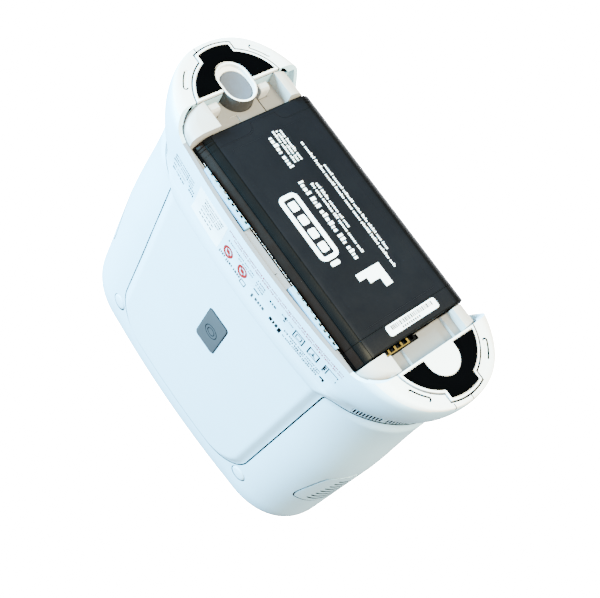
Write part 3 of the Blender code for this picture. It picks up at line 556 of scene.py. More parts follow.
def slot_outline(sign, face, grow=0.0):
    """A slot that bends round the foot, with round ends."""
    middle, half = (SLOT_INNER + SLOT_OUTER) / 2, (SLOT_OUTER - SLOT_INNER) / 2 + grow
    start, end = SLOT_TURNS
    points = arc(FOOT_CENTRE, 0, middle + half, start, end, 10)
    for turn, first in ((end, end), (start, start + 180)):
        t = math.radians(turn)
        centre = (FOOT_CENTRE + middle * math.cos(t), middle * math.sin(t))
        points += arc(*centre, half, first, first + 180, 8)[1:-1]
        if turn == end:
            points += arc(FOOT_CENTRE, 0, middle - half, end, start, 10)
    return [(sign * x, face * y) for x, y in points]


def foot_grooves():
    """Shallow slots in the feet, a line of painted shadow along one side of each, and short joints out to
    the edge.
    """
    pockets, lines = bmesh.new(), bmesh.new()
    for sign in SIDES.values():
        for face in FACES.values():
            prism(slot_outline(sign, face), UNDER, 0.00105, bm=pockets)
            # painted shadow: only the side of each slot that lies in shade gets the dark line
            part = slice(15, 36) if sign == face else slice(0, 19)
            narrow = slot_outline(sign, face, -0.0005)[part]
            prism(slot_outline(sign, face, 0.0004)[part] + narrow[::-1], UNDER, 0.0018, bm=lines)
    for sign, y in ((-1, -0.0112), (-1, 0.0006), (1, -0.0095)):
        low, high = sorted((sign * 0.1128, sign * 0.1200))
        box((low, y - 0.0003, UNDER), (high, y + 0.0003, 0.0030), lines)
    return [add("cut_pockets", pockets), add("cut_lines", lines, dark=True)]


def feet():
    recesses, notch_outline = [], stadium(TOWER_X, TOWER_LENGTH + GAP, TOWER_WIDTH + GAP)
    for side, sign in SIDES.items():
        plate = add(f"foot_rim_{side}", prism(foot_outline(sign, FOOT_LIP), 0.0004, 0.0024), "foot")
        seat = add("cut_seat", prism(foot_outline(sign, GAP), UNDER, 0.0015))
        pad = add(f"rubber_pad_{side}", prism(foot_outline(sign), 0.0, 0.0011), "pad")
        cutters = [seat]
        if side == "right":
            middle, length, width = TOWER_X, TOWER_LENGTH, TOWER_WIDTH
            notch = add("cut_notch", prism(notch_outline, -0.01, 0.01))
            combine(plate, "DIFFERENCE", notch)
            cutters.append(notch)
        else:
            middle, length, width = -PAD_FLAT, TONGUE_LENGTH, TONGUE_HALF
            tongue = add("cut_tongue", prism(stadium(middle, length, width), -0.02, 0.02))
            combine(seat, "DIFFERENCE", tongue)
            cutters.append(tongue)
        clear = add("cut_clear", prism(stadium(middle, length + GAP, width + GAP), -0.01, 0.01))
        combine(pad, "DIFFERENCE", clear)
        combine(plate, "DIFFERENCE", seat)
        freeze(pad)
        freeze(plate)
        drop(clear, *cutters)
        settle(round_edges(pad, 0.00025), f"foot_pad_{side}")
        settle(round_edges(plate, 0.00015), f"foot_plate_{side}")
        recess = prism(foot_outline(sign, FOOT_LIP + FOOT_GAP), UNDER, 0.0028)
        recesses.append(add(f"cut_recess_{side}", recess, dark=True))
    return recesses


# ---------------------------------------------------------------- housing pieces


def base_housing(hollow, keep, recesses):
    levels = FOOT_LEVELS + BAND_LEVELS + WAIST_LEVELS + BODY_LEVELS + [SHOULDER_Z]
    base = add("base_moulding", loft(levels), SHELL_MATS)
    plan = bay_outline(inset(section(RIM_Z), WALL), BAY_END)
    bay = add("cut_bay", prism(plan, UNDER, 0.033), dark=True)
    # painted shade on the bay's side walls, seen through the gap round the tray; its end faces keep the
    # shell colour
    for face in bay.data.polygons:
        if abs(face.normal.x) > 0.99:
            face.material_index = 0
    rim_line = [(-BAY_END, UNDER), (-BAY_END, FOOT_Z), (-0.0765, RIM_Z - 0.0016), (-0.072, RIM_Z)]
    rim = add("cut_rim", prism(mirrored(rim_line), -0.06, 0.06, axis="Y"))
    rear_line = [(-BAY_END, UNDER), (-BAY_END, FOOT_Z), (-REAR_RIM_HALF, REAR_RIM_Z)]
    rear = add("cut_rear", prism(mirrored(rear_line), 0.020, 0.06, axis="Y"))
    notch_plan = stadium(TOWER_X, TOWER_LENGTH + GAP, TOWER_WIDTH + GAP)
    notch = add("cut_notch", prism(notch_plan, -0.002, 0.016))
    grooves = foot_grooves()
    socket = add("cut_socket", prism(circle(0, SOCKET_Z, 0.0066), 0.100, 0.125, axis="X"))
    low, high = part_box("front_badge")
    width, height = high.x - low.x + 2 * GAP, high.z - low.z + 2 * GAP
    seat_outline = rounded_rect(width, height, 0.0026, cy=(low.z + high.z) / 2)
    seat = add("cut_badge", prism(seat_outline, -0.060, -0.0438, axis="Y"), dark=True)
    combine(base, "DIFFERENCE", hollow)
    combine(base, "INTERSECT", keep)
    combine(base, "DIFFERENCE", bay, rim, rear, notch, *recesses, *grooves, socket, seat)
    freeze(base)
    drop(bay, rim, rear, notch, *recesses, *grooves, socket, seat)
    paint_zones(base)
    return settle(base, "base_housing")


def paint_zones(base):
    """Paints shade on the rim of the bay, which is greyer, and the warm light from below on the soles of
    the feet, which are a warmer white.
    """
    for face in base.data.polygons:
        centre, normal = face.center, face.normal
        if face.material_index == 1:
            continue
        # painted shade: the downward strip of the rim round the bay takes the grey rim material
        if 0.0066 < centre.z < 0.0105 and normal.z < -0.6 and abs(centre.x) < 0.0735:
            face.material_index = 2
        # painted warm light: sole faces that look down take the warm white foot material
        elif centre.z < 0.0026 and normal.z < -0.25:
            face.material_index = 3


def shell_half(face, sign, hollow, cutter, openings):
    levels = steps_between(0.0445, WAIST_Z, 2) + WAIST_LEVELS + BODY_LEVELS + TOP_LEVELS
    shell = add(f"{face}_moulding", loft(levels), SHELL_MATS)
    other = sorted((sign * -0.07, sign * 0.0002))
    half = add("cut_half", box((-0.13, other[0], 0), (0.13, other[1], 0.26)))
    holes = bmesh.new()
    for end in SIDES.values():
        reach = sorted((sign * 0.03, sign * 0.05))
        prism(circle(end * SCREW_X, SCREW_Z, SCREW_RADIUS + 0.0006), *reach, axis="Y", bm=holes)
    hole = add("cut_holes", holes, dark=True)
    combine(shell, "DIFFERENCE", hollow, cutter, half, hole, *openings)
    freeze(shell)
    drop(half, hole)
    return settle(shell, f"{face}_shell")


def screw_caps():
    rim, dome = SCREW_RADIUS, 0.0005
    outer, inner = (half_depth(section(SCREW_Z), SCREW_X + step) for step in (0.004, -0.004))
    tilt = math.atan((inner - outer) / 0.008)
    profile = [(rim, -0.0028), (rim, -0.0004), (rim - 0.0002, -0.0001), (rim - 0.0006, 0.0001)]
    profile += [(rim * k, 0.0001 + dome * (1 - k * k)) for k in (0.85, 0.65, 0.45, 0.25, 0.06)]
    for face, sign in FACES.items():
        for end, end_sign in SIDES.items():
            x = end_sign * SCREW_X
            bm = turned(profile)
            bm.transform(Matrix.Rotation(math.radians(90), 4, "X"))
            turn = (math.pi if sign > 0 else 0) - sign * end_sign * tilt
            bm = moved(bm, (x, surface_y(x, SCREW_Z, sign), SCREW_Z), turn)
            cap = add(f"screw_cover_{face}_{end}", bm, "shell")
            settle(cap, f"screw_cap_{face}_{end}")


# ---------------------------------------------------------------- vents


def skin_plan(shape, u):
    """The section's (x, y) at the length u along the front, from the middle round the corner."""
    half, deep, cap, power = shape[:4]
    straight = half - cap
    if u <= straight:
        return u, half_depth(shape, u)
    turn = min(math.pi / 2, (u - straight) / (cap * 1.22))
    return straight + cap * math.sin(turn) ** (2 / power), deep * math.cos(turn) ** (2 / power)


def on_skin(u, v, sign, depth=0.0):
    """A point at a depth under the housing's front corner, at the height v."""
    lift = relief(np.array([skin_plan(section(v), u)[0]]), np.array([v]))[0]
    x, y = skin_plan(inset(section(v), depth - lift), u)
    return (sign * x, -y, v)


def skin_prism(outline, sign, top, bottom, bm):
    """A closed slab on the housing's corner between two depths, from (u, v) points."""
    upper = [bm.verts.new(on_skin(u, v, sign, top)) for u, v in outline]
    lower = [bm.verts.new(on_skin(u, v, sign, bottom)) for u, v in outline]
    add_skin(bm, [upper, lower])


GRILLE = [(0.1108, 0.1688), (0.1112, 0.1600), (0.1195, 0.1325), (0.1235, 0.1275), (0.1408, 0.1239)]
GRILLE += [(0.1500, 0.1225), (0.1500, 0.1745), (0.1343, 0.1742), (0.1229, 0.1727), (0.1150, 0.1705)]
GRILLE_SLOTS, GRILLE_SLOT_HALF = 8, 0.0011
LOUVRE_V = (0.0392, 0.0453)
LOUVRE_ENDS = (0.0940, 0.1320)
LOUVRE_GROUPS = ((0.0948, 9), (0.1152, 8))
LOUVRE_PITCH, LOUVRE_SLOT = 0.0020, 0.0012


def smooth_loop(points):
    """Cuts a closed loop's corners twice."""
    for _ in range(2):
        out = []
        for i, a in enumerate(points):
            b = points[(i + 1) % len(points)]
            out.append((a[0] * 0.75 + b[0] * 0.25, a[1] * 0.75 + b[1] * 0.25))
            out.append((a[0] * 0.25 + b[0] * 0.75, a[1] * 0.25 + b[1] * 0.75))
        points = out
    return points


def grow_loop(points, amount):
    """Moves a closed loop's points outwards along their normals."""
    p = np.array(points)
    along = np.roll(p, -1, 0) - np.roll(p, 1, 0)
    out = np.stack([along[:, 1], -along[:, 0]], 1)
    out /= np.linalg.norm(out, axis=1)[:, None]
    area = (p[:, 0] * np.roll(p[:, 1], -1) - np.roll(p[:, 0], -1) * p[:, 1]).sum()
    return [tuple(q) for q in p + out * amount * (1 if area > 0 else -1)]


def split_line(points, count):
    """Adds points along each side of a closed loop."""
    fine = []
    for a, b in zip(points, points[1:] + points[:1]):
        fine += [(a[0] + (b[0] - a[0]) * k / count, a[1] + (b[1] - a[1]) * k / count) for k in range(count)]
    return fine


def skin_insert(name, outline, sign, mats, slots, gap, top=0.0):
    """A piece of the housing's own curve inside an outline, with blind slots whose walls are painted in
    shade, and its window.
    """
    grid = [steps_between(min(side) - 0.002, max(side) + 0.002, 40) for side in zip(*outline)]
    slab = add_slab(bmesh.new(), lambda u, v, depth: on_skin(u, v, sign, depth), *grid, (top, 0.0022))
    piece = add(name, slab, mats)
    keep, grooves, window = bmesh.new(), bmesh.new(), bmesh.new()
    skin_prism(outline, sign, -0.012, 0.006, keep)
    for slot in slots:
        skin_prism(slot, sign, -0.002, 0.0017, grooves)
    tools = [add("tool_outline", keep), add("cut_slots", grooves, dark=True)]
    combine(piece, "INTERSECT", tools[0])
    combine(piece, "DIFFERENCE", tools[1])
    freeze(piece)
    drop(*tools)
    skin_prism(grow_loop(outline, gap), sign, -0.012, 0.006, window)
    return piece, add(f"cut_{name}", window, dark=True)


def side_grilles():
    """Grilles round the two front corners: an insert with a row of bent slots."""
    windows = []
    outline = split_line(smooth_loop(GRILLE), 2)
    for side, sign in SIDES.items():
        slots = []
        for i in range(GRILLE_SLOTS):
            u, v = 0.1220 + i * 0.0016, 0.1665 - i * 0.0048
            line = [(u, v), (u + 0.004, v + 0.0016), (u + 0.010, v + 0.0030), (0.1480, v + 0.0042)]
            low = [(a, b - GRILLE_SLOT_HALF) for a, b in line]
            high = [(a, b + GRILLE_SLOT_HALF) for a, b in reversed(line)]
            slots.append(smooth_loop(low + high))
        piece, window = skin_insert(f"grille_{side}", outline, sign, SHELL_MATS, slots, GRILLE_GAP)
        settle(piece, f"side_grille_{side}")
        windows.append(window)
    return windows


def waist_vents():
    """Louvres on the ramp at the base's upper edge: upright slots in two groups."""
    windows = []
    (low, high), (start, end) = LOUVRE_V, LOUVRE_ENDS
    outline = split_line(box_outline((start, low), (end, high)), 12)
    for side, sign in SIDES.items():
        slots = []
        for first, count in LOUVRE_GROUPS:
            for i in range(count):
                u = first + i * LOUVRE_PITCH
                v0, v1 = low + 0.0003, high - 0.0004
                slots.append(box_outline((u, v0), (u + LOUVRE_SLOT, v1)))
        mats = ("shell", "seam")
        piece, window = skin_insert(f"louvre_{side}", outline, sign, mats, slots, LOUVRE_GAP, 0.0001)
        settle(piece, f"waist_vent_{side}")
        windows.append(window)
    return windows


def badge():
    low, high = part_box("front_badge")
    cz, width, height = (low.z + high.z) / 2, high.x - low.x, high.z - low.z
    face = surface_y(0.0, cz) - 0.0006
    levels = []
    for shrink, depth in ((0.0, 0.0018), (0.0, 0.0004), (0.0003, 0.0001), (0.0008, 0.0)):
        outline = rounded_rect(width - 2 * shrink, height - 2 * shrink, 0.0024 - shrink, cy=cz)
        levels.append((outline, face + depth))
    plate = add("badge_plate", stack(levels, axis="Y"), ("badge", "badge_wall_painted_shade"))
    groove = bmesh.new()
    for radius in (0.0052, 0.0031):
        outer, inner = circle(0, cz, radius), circle(0, cz, radius - 0.0006)
        ring_band(outer, inner, face - 0.001, face + 0.0004, groove, "Y")
    cutter = add("cut_ring", groove, dark=True)
    carve(plate, cutter)
    # painted shade: the badge's side walls and the walls of its ring grooves take the near-black second
    # material
    for face in plate.data.polygons:
        if abs(face.normal.y) < 0.8:
            face.material_index = 1
    settle(plate, "front_badge")


# ---------------------------------------------------------------- bay


def rear_round():
    """The space outside the rounded rear of the tray's end blocks, up to the rear rim, as (y, z)."""
    (y0, y1), (z0, z1) = REAR_ROUND_Y, REAR_ROUND_Z
    turns = [math.pi / 2 * i / 18 for i in range(19)]
    curve = [(y0 + (y1 - y0) * math.sin(t), z1 - (z1 - z0) * math.cos(t)) for t in turns]
    return [(y0, UNDER), *curve, (y1, REAR_RIM_Z), (0.06, REAR_RIM_Z), (0.06, UNDER)]


def cradle():
    """The tray round the battery, open to the rear, with pockets for the hooks, the combs and the tower."""
    levels = [0.0012 + 0.0072 * (1 - math.cos(math.pi / 2 * i / 9)) for i in range(10)]
    rings = []
    end = BAY_END - GAP
    for z in levels + [0.0318]:
        shape = inset(section(min(z + 0.0006, RIM_Z)), WALL + 0.0005)
        drop_in = 0.0012 * (1 - min(1.0, (z - 0.0012) / 0.0030)) ** 2
        rings.append((bay_outline(inset(shape, drop_in), end), z))
    tray = add("battery_tray", stack(rings), TRAY_MATS)
    low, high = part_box("battery_cap_left")[0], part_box("battery_cap_right")[1]
    cutters = []

    # a dark cutter leaves walls painted in shade
    def cutter(bm, dark=False):
        cutters.append(add(f"cut_tray_{len(cutters)}", bm, dark=dark))

    centre = (low.x + high.x) / 2
    cutter(prism(rounded_rect(high.x - low.x + 0.001, 0.0832, 0.0006, cx=centre), UNDER, 0.0292))
    cutter(box((low.x - 0.0012, -0.06, UNDER), (high.x + 0.0008, 0.06, 0.0097)))
    cutter(box((0.060, -0.024, UNDER), (0.09, 0.024, 0.0097)))
    cutter(box((-0.09, -0.024, UNDER), (-0.065, 0.024, 0.0070)))
    cutter(prism(rear_round(), -0.09, 0.09, axis="X"))
    for y0, y1 in ((-0.0200, -0.0125), (0.0120, 0.0190)):
        cutter(box((-0.09, y0, UNDER), (-0.065, y1, 0.0092)))
    cutter(box((0.0600, 0.0104, 0.0060), (0.0900, 0.0110, 0.0112)), True)
    cutter(box((0.0600, -0.0105, 0.0060), (0.0752, -0.0064, 0.0104)))
    for node in ("latch_hook_front", "latch_hook_rear"):
        a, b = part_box(node)
        cutter(box((a.x - 0.0006, a.y - 0.0005, 0.0), (0.0856, b.y + 0.0005, 0.0136)))
    cutter(box((-0.0762, -0.0262, UNDER), (-0.070, 0.0, 0.0205)), True)
    clips = bmesh.new()
    for node in ("comb_front_left", "comb_front_right"):
        a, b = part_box(node)
        box((a.x - GAP, a.y - 0.0009, UNDER), (b.x + GAP, -0.0405, 0.0112), clips)
    cutter(clips, True)
    outline = stadium(TOWER_X, TOWER_LENGTH + GAP, TOWER_WIDTH + GAP)
    cutter(prism(outline, -0.002, 0.0159))
    mark = [(0.0073, -0.0462), (-0.0109, -0.0462), (-0.0109, -0.0440), (-0.0105, -0.0440)]
    mark += [(-0.0105, -0.0458), (0.0073, -0.0458)]
    cutter(prism(mark, 0.0080, 0.0104), True)
    carve(tray, *cutters)
    # painted shade: floor faces deep in the tray take the dark floor material, and the front strip takes
    # the grey rim material
    for face in tray.data.polygons:
        if face.material_index == 0 and face.normal.z < -0.8 and face.center.z > 0.0062:
            face.material_index = 3 if face.center.y < -0.0405 else 2
    settle(round_edges(tray, 0.0003, 2, 45), "battery_cradle")


def latch():
    outer = stadium(TOWER_X, TOWER_LENGTH, TOWER_WIDTH)
    inner = stadium(TOWER_X, TOWER_LENGTH - 0.0015, TOWER_WIDTH - 0.0015)

    def shrink(line, amount):
        return grow_loop(line, -amount)

    shift = 0.0011
    hole = stadium(TOWER_X - shift, TOWER_LENGTH - 0.0018 - shift, TOWER_WIDTH - 0.0018)
    levels = [(outer, 0.0155), (outer, 0.0012)]
    levels += [(shrink(outer, 0.0002), 0.0008), (shrink(outer, 0.0006), 0.0006)]
    levels += [(shrink(inner, -0.0005), 0.0006), (shrink(inner, -0.0001), 0.0008), (inner, 0.0012)]
    levels += [(inner, 0.0030), (hole, 0.0034), (hole, 0.0138)]
    tower = add("button_tower", stack(levels), ("tower", "tower_side_painted_shade"))
    # painted shade: the tower's upright faces that look outwards take the dark side material
    middle = Vector((TOWER_X, 0))
    for face in tower.data.polygons:
        if abs(face.normal.z) < 0.5 and (face.center.xy - middle).dot(face.normal.xy) > 0:
            face.material_index = 1
    settle(tower, "latch_tower")
    low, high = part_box("latch_button")
    edge = stadium(TOWER_X - shift, TOWER_LENGTH - 0.0022 - shift, TOWER_WIDTH - 0.0022)
    top = low.z + 0.0008
    faces = [(edge, high.z), (edge, top + 0.0006), (shrink(edge, 0.0002), top + 0.0002)]
    faces.append((shrink(edge, 0.0006), top))
    for step in range(1, 9):
        depth = 0.0009 * ease(step / 8)
        faces.append((shrink(edge, 0.0006 + 0.0006 * step), top + depth))
    faces.append((shrink(edge, 0.0062), top + 0.0009))
    button = add("release_button", stack(faces), "button")
    settle(button, "latch_button", "latch_button")
    for face in FACES:
        a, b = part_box(f"latch_hook_{face}")
        profile = [(a.x, b.z), (a.x, a.z + 0.0016), (a.x + 0.0004, a.z + 0.0008), (a.x + 0.0014, a.z)]
        profile += [(b.x - 0.0006, a.z), (b.x, a.z + 0.0006), (b.x, b.z)]
        hook = add(f"catch_{face}", prism(profile, a.y, b.y, axis="Y"), "cradle")
        settle(round_edges(hook, 0.0003), f"latch_hook_{face}", "latch_hooks")


def clips():
    """Two strips along the battery's front edge, each with a row of notches."""
    wall = inset(section(RIM_Z), WALL + 0.0004)
    pitch, tooth = 0.0038, 0.0020
    for side in SIDES:
        node = f"comb_front_{side}"
        a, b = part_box(node)
        inner = b.y
        xs = steps_between(b.x, a.x, 12) + [a.x]
        points = [(x, -min(0.0444, half_depth(wall, x))) for x in xs]
        points.append((a.x, inner))
        x = a.x + tooth
        while x + pitch < b.x:
            gap_end = x + pitch - tooth
            depth = 0.0013 if x < a.x + 0.020 else 0.0007
            points += [(x, inner), (x, inner - depth), (gap_end, inner - depth), (gap_end, inner)]
            x += pitch
        points.append((b.x, inner))
        piece = add(f"clip_strip_{side}", prism(points, a.z, b.z), "clip")
        settle(round_edges(piece, 0.0002), node)


def connector():
    a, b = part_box("bay_connector")
    body = add("contact_block", box(a, b), "battery")
    notch = bmesh.new()
    for i in range(6):
        y = a.y + 0.0016 + i * 0.0040
        box((a.x + 0.0010, y, a.z - 0.001), (b.x + 0.001, y + 0.0022, a.z + 0.0030), notch)
    carve(body, add("cut_keys", notch))
    settle(round_edges(body, 0.0002), "bay_connector")


# ---------------------------------------------------------------- battery


LOW_Z, HIGH_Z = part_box("battery_case")[0].z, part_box("battery_case")[1].z
EDGE_RADIUS, BATTERY_HALF = 0.0118, 0.041
CAP_LEFT, CAP_RIGHT, CAP_MIDDLE, SPLIT = -0.0618, 0.0598, 0.0656, 0.00012
CAP_TAB = (-0.0066, 0.0104)


def edge_profile(shrink=0.0, ribs=True):
    """One long edge of the battery, from the side down to the label face, with its grooves and rib."""
    grooves = ((27.0, 31.0, 0.0006), (52.5, 57.0, 0.0006), (77.0, 80.0, 0.0004)) if ribs else ()
    cuts = {0.0, 90.0}
    for start, end, _ in grooves:
        cuts |= {start, start + 0.4, end - 0.4, end}
    turns = sorted(cuts | {2.5 * i for i in range(37)})
    points = []
    for turn in turns:
        depth = max([d for s, e, d in grooves if s + 0.3 < turn < e - 0.3], default=0.0)
        radius = EDGE_RADIUS - shrink - depth
        t = math.radians(turn)
        points.append((math.cos(t) * radius, -math.sin(t) * radius))
    return points


def battery_outline(shrink=0.0, ribs=True):
    """The battery's section, as (y, z): the grooves run along its front edge only."""
    cy, cz = BATTERY_HALF - EDGE_RADIUS, LOW_Z + EDGE_RADIUS
    half, top = BATTERY_HALF - shrink, HIGH_Z - shrink
    upper = arc(half - 0.0012, top - 0.0012, 0.0012, 90, 0, 4)
    rear = upper + [(cy + y, cz + z) for y, z in edge_profile(shrink, False)]
    front = upper + [(cy + y, cz + z) for y, z in edge_profile(shrink, ribs)]
    return rear + [(-y, z) for y, z in reversed(front)]


def cap_region(grow=0.0):
    """The plan of the right end cap, whose seam steps back between two rounded corners."""
    seam, middle, radius = CAP_RIGHT - grow, CAP_MIDDLE - grow, 0.0055
    start, end = CAP_TAB[0] + grow, CAP_TAB[1] - grow
    low = arc(seam + radius, start - radius, radius, 180, 90, 8)
    high = arc(seam + radius, end + radius, radius, 270, 180, 8)
    points = [(0.08, -0.05), (0.08, 0.05), (seam, 0.05), *high[::-1], (middle, end)]
    return [*points, (middle, start), *low[::-1], (seam, -0.05)]


def battery_part(name, node, levels, cutters, keep=None):
    part = add(name, stack(levels, axis="X"), "battery")
    if keep:
        combine(part, "INTERSECT", keep)
    combine(part, "DIFFERENCE", *cutters)
    freeze(part, 25)
    paint_battery(part)
    settle(part, node, "battery")


def battery():
    full = battery_outline()
    left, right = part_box("battery_cap_left")[0].x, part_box("battery_cap_right")[1].x
    hollow = add("cut_case", prism(battery_outline(0.0022, False), -0.0698, 0.0660, axis="X"))
    end = add("cut_end", prism(cap_region(SPLIT), -0.01, 0.05))
    a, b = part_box("battery_label_plate")
    width, depth, centre = b.x - a.x, b.y - a.y, (a.x + b.x) / 2
    seat_outline = rounded_rect(width + 0.00006, depth + 0.00006, 0.00183, cx=centre)
    seat = add("cut_seat", prism(seat_outline, 0.0, b.z + 0.0001))
    case_levels = [(full, CAP_LEFT + SPLIT), (full, 0.0680)]
    battery_part("battery_body", "battery_case", case_levels, [hollow, end, seat])
    film = prism(rounded_rect(width, depth, 0.0018, cx=centre), LOW_Z, b.z)
    settle(add("battery_film", film, "battery_face"), "battery_label_plate", "battery")
    left_levels = [(battery_outline(0.0008), left), (battery_outline(0.0002), left + 0.0003)]
    left_levels += [(full, left + 0.0009), (full, CAP_LEFT - SPLIT)]
    a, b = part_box("bay_connector")
    slot = add("cut_slot", box((left - 0.01, a.y + 0.0006, 0.0066), (left + 0.0008, b.y - 0.0006, 0.0190)))
    battery_part("battery_end_left", "battery_cap_left", left_levels, [hollow, slot])
    right_levels = [(full, 0.055), (full, right - 0.0012)]
    right_levels += [(battery_outline(0.0003), right - 0.0004), (battery_outline(0.0011), right)]
    rings = bmesh.new()
    for x in (0.0630, 0.0648):
        outer, inner = battery_outline(-0.001, False), battery_outline(0.0004, False)
        ring_band(outer, inner, x, x + 0.0005, rings, "X")
    ring = add("cut_rings", rings)
    carve(ring, add("cut_clear", box((0.05, -0.0310, 0), (0.08, 0.0310, 0.0160))))
    keep = add("cut_keep", prism(cap_region(), -0.01, 0.05))
    battery_part("battery_end_right", "battery_cap_right", right_levels, [hollow, ring], keep)
    drop(hollow, end, seat, slot, keep, ring)


def paint_battery(obj):
    """The label face is a slate tone, and the rib along the front edge has a painted brown reflection."""
    obj.data.materials.append(M["battery_face"])
    obj.data.materials.append(M["battery_rib_painted_reflection"])
    cy, cz = BATTERY_HALF - EDGE_RADIUS, LOW_Z + EDGE_RADIUS
    for face in obj.data.polygons:
        centre = face.center
        if face.normal.z < -0.985 and centre.z < LOW_Z + 0.0012:
            face.material_index = 1
            continue
        # painted reflection: rib faces between the two front grooves take the brown rib material
        turn = math.degrees(math.atan2(cz - centre.z, abs(centre.y) - cy))
        if 31.0 < turn < 52.5 and centre.y < 0 and abs(face.normal.x) < 0.5:
            face.material_index = 2


# ---------------------------------------------------------------- printing


def next_number(n):
    """A fixed sequence that only makes rows of bars look uneven."""
    return (n * 73 + 41) % 997


class Print:
    """Thin closed shapes on a surface, gathered into one piece."""

    def __init__(self, place, thick=0.00005, sink=0.00012):
        self.bm = bmesh.new()
        self.place, self.thick, self.sink = place, thick, sink

    def shape(self, outline):
        upper = [self.bm.verts.new(self.place(u, v, self.thick)) for u, v in outline]
        lower = [self.bm.verts.new(self.place(u, v, -self.sink)) for u, v in outline]
        add_skin(self.bm, [upper, lower])

    def sheet(self, u0, u1, v0, v1, across, along):
        """A rectangle in a grid of faces, which follows a curved surface."""
        us, vs = steps_between(u0, u1, across) + [u1], steps_between(v0, v1, along) + [v1]
        add_slab(self.bm, self.place, us, vs, (self.thick, -self.sink))

    def strip(self, start, end, width):
        """A straight bar between two points."""
        (a, b), (c, d) = start, end
        length = math.hypot(c - a, d - b)
        x, y = (b - d) / length * width / 2, (c - a) / length * width / 2
        self.shape([(a + x, b + y), (c + x, d + y), (c - x, d - y), (a - x, b - y)])

    def loop(self, outer, inner):
        rings = []
        top, low = self.thick, -self.sink
        for outline, lift in ((outer, top), (inner, top), (inner, low), (outer, low)):
            rings.append([self.bm.verts.new(self.place(u, v, lift)) for u, v in outline])
        add_skin(self.bm, rings + rings[:1], caps=False)

    def frame(self, u, v, width, height, line, radius=0.0003):
        outer = rounded_rect(width, height, radius, u, v, 3)
        inner = rounded_rect(width - 2 * line, height - 2 * line, max(0.00002, radius - line), u, v, 3)
        self.loop(outer, inner)

    def block(self, u0, v0, u1, v1):
        self.shape(box_outline((u0, v0), (u1, v1)))

    def pill(self, width, height, radius, u, v, steps=3):
        self.shape(rounded_rect(width, height, radius, u, v, steps))

    def ring(self, u, v, radius, line):
        self.loop(circle(u, v, radius, 28), circle(u, v, radius - line, 28))

    def words(self, u0, u1, v, height, seed):
        """A row of short bars that stands for a line of small print."""
        u, end, n, left = min(u0, u1), max(u0, u1), seed, 4
        while u < end:
            n = next_number(n)
            length = height * (0.34 + 0.14 * (n % 3))
            if u + length > end:
                break
            tall = height * (0.66 if n % 4 else 0.95)
            self.block(u, v, u + length, v + tall)
            left -= 1
            u += length + height * (0.24 if left else 0.62)
            left = left or 3 + n % 5

    def rows(self, blocks, height, seed, step):
        """Rows of bars: each block is (start, end, one v for each row)."""
        lines = [(u0, u1, v) for u0, u1, *heights in blocks for v in heights]
        for i, (u0, u1, v) in enumerate(lines):
            self.words(u0, u1, v, height, seed + step * i)

    def finish(self, name, mat, body="concentrator"):
        settle(add(name, self.bm, mat, 20), body=body)


STICKER_THICK, EDGE_ARC = 0.00015, 0.0148


def on_face(u, v, lift):
    return (u, v, LOW_Z - lift)


def on_battery_edge(u, v, lift):
    """The battery's rounded front edge: v grows along the arc from the label face to the side."""
    turn = math.pi / 2 - v / EDGE_ARC
    radius = EDGE_RADIUS + lift
    y = -(BATTERY_HALF - EDGE_RADIUS) - radius * math.cos(turn)
    return (u, y, LOW_Z + EDGE_RADIUS - radius * math.sin(turn))


def on_band(u, v, lift):
    return (u, surface_y(u, v) - lift, v)


def battery_print():
    """Generic marks on the battery: a battery symbol, a stepped block and rows of bars."""
    white = Print(on_face)
    cx, cy = 0.0, -0.0158
    white.frame(cx + 0.0012, cy, 0.0410, 0.0124, 0.0026, 0.0036)
    white.pill(0.0026, 0.0058, 0.0010, cx - 0.0219, cy, 4)
    for i in range(4):
        white.pill(0.0058, 0.0046, 0.0008, cx + 0.0142 - i * 0.0086, cy, 4)
    bold = ((0.0335, 0.0560, -0.0032, 0.0030), (-0.0255, 0.0252, -0.0047, 0.0032))
    for i, row in enumerate(bold):
        white.words(*row, 7 + i)
    small = ((0.0352, 0.0562, 0.0012, 0.0034, 0.0056), (-0.0240, 0.0215, 0.0012))
    small += ((-0.0090, 0.0215, 0.0038), (-0.0390, 0.0440, 0.0122), (-0.0290, 0.0281, 0.0152))
    white.rows(small, 0.0017, 31, 5)
    steps = [(-0.0325, -0.0106), (-0.0325, 0.0058), (-0.0455, 0.0058), (-0.0455, 0.0010)]
    steps += [(-0.0400, 0.0010), (-0.0400, -0.0058), (-0.0365, -0.0058), (-0.0365, -0.0106)]
    white.shape(steps)
    white.finish("battery_printing", "print_white", "battery")
    # painted glints: a row of white dashes along the battery's front edge, where light catches it
    dashes = Print(on_battery_edge, 0.00004, 0.0001)
    u, n = -0.0585, 5
    while u < 0.0570:
        n = next_number(n)
        length = 0.0008 + 0.0005 * (n % 4)
        dashes.block(u, 0.01660, u + length, 0.01685)
        u += length + 0.0004 + 0.0003 * (n % 3)
    dashes.finish("battery_edge_painted_glints", "print_white", "battery")


def battery_sticker():
    sticker = Print(on_face, STICKER_THICK, 0.0001)
    sticker.pill(0.0060, 0.0358, 0.0014, -0.0657, 0.0026, 5)
    sticker.finish("battery_sticker", "label", "battery")
    bars = Print(lambda u, v, lift: on_face(u, v, lift + STICKER_THICK), 0.00004, 0.00004)
    y, n = -0.0122, 3
    while y < 0.0172:
        n = (n * 61 + 17) % 499
        wide = 0.00026 * (1 + n % 3)
        bars.block(-0.0660, y, -0.0636, y + wide)
        y += wide + 0.00030 * (1 + (n // 3) % 2)
    for i in range(9):
        y = -0.0060 + i * 0.0015
        bars.block(-0.0680, y, -0.0668, y + 0.0008)
    bars.finish("sticker_bars", "print_dark", "battery")


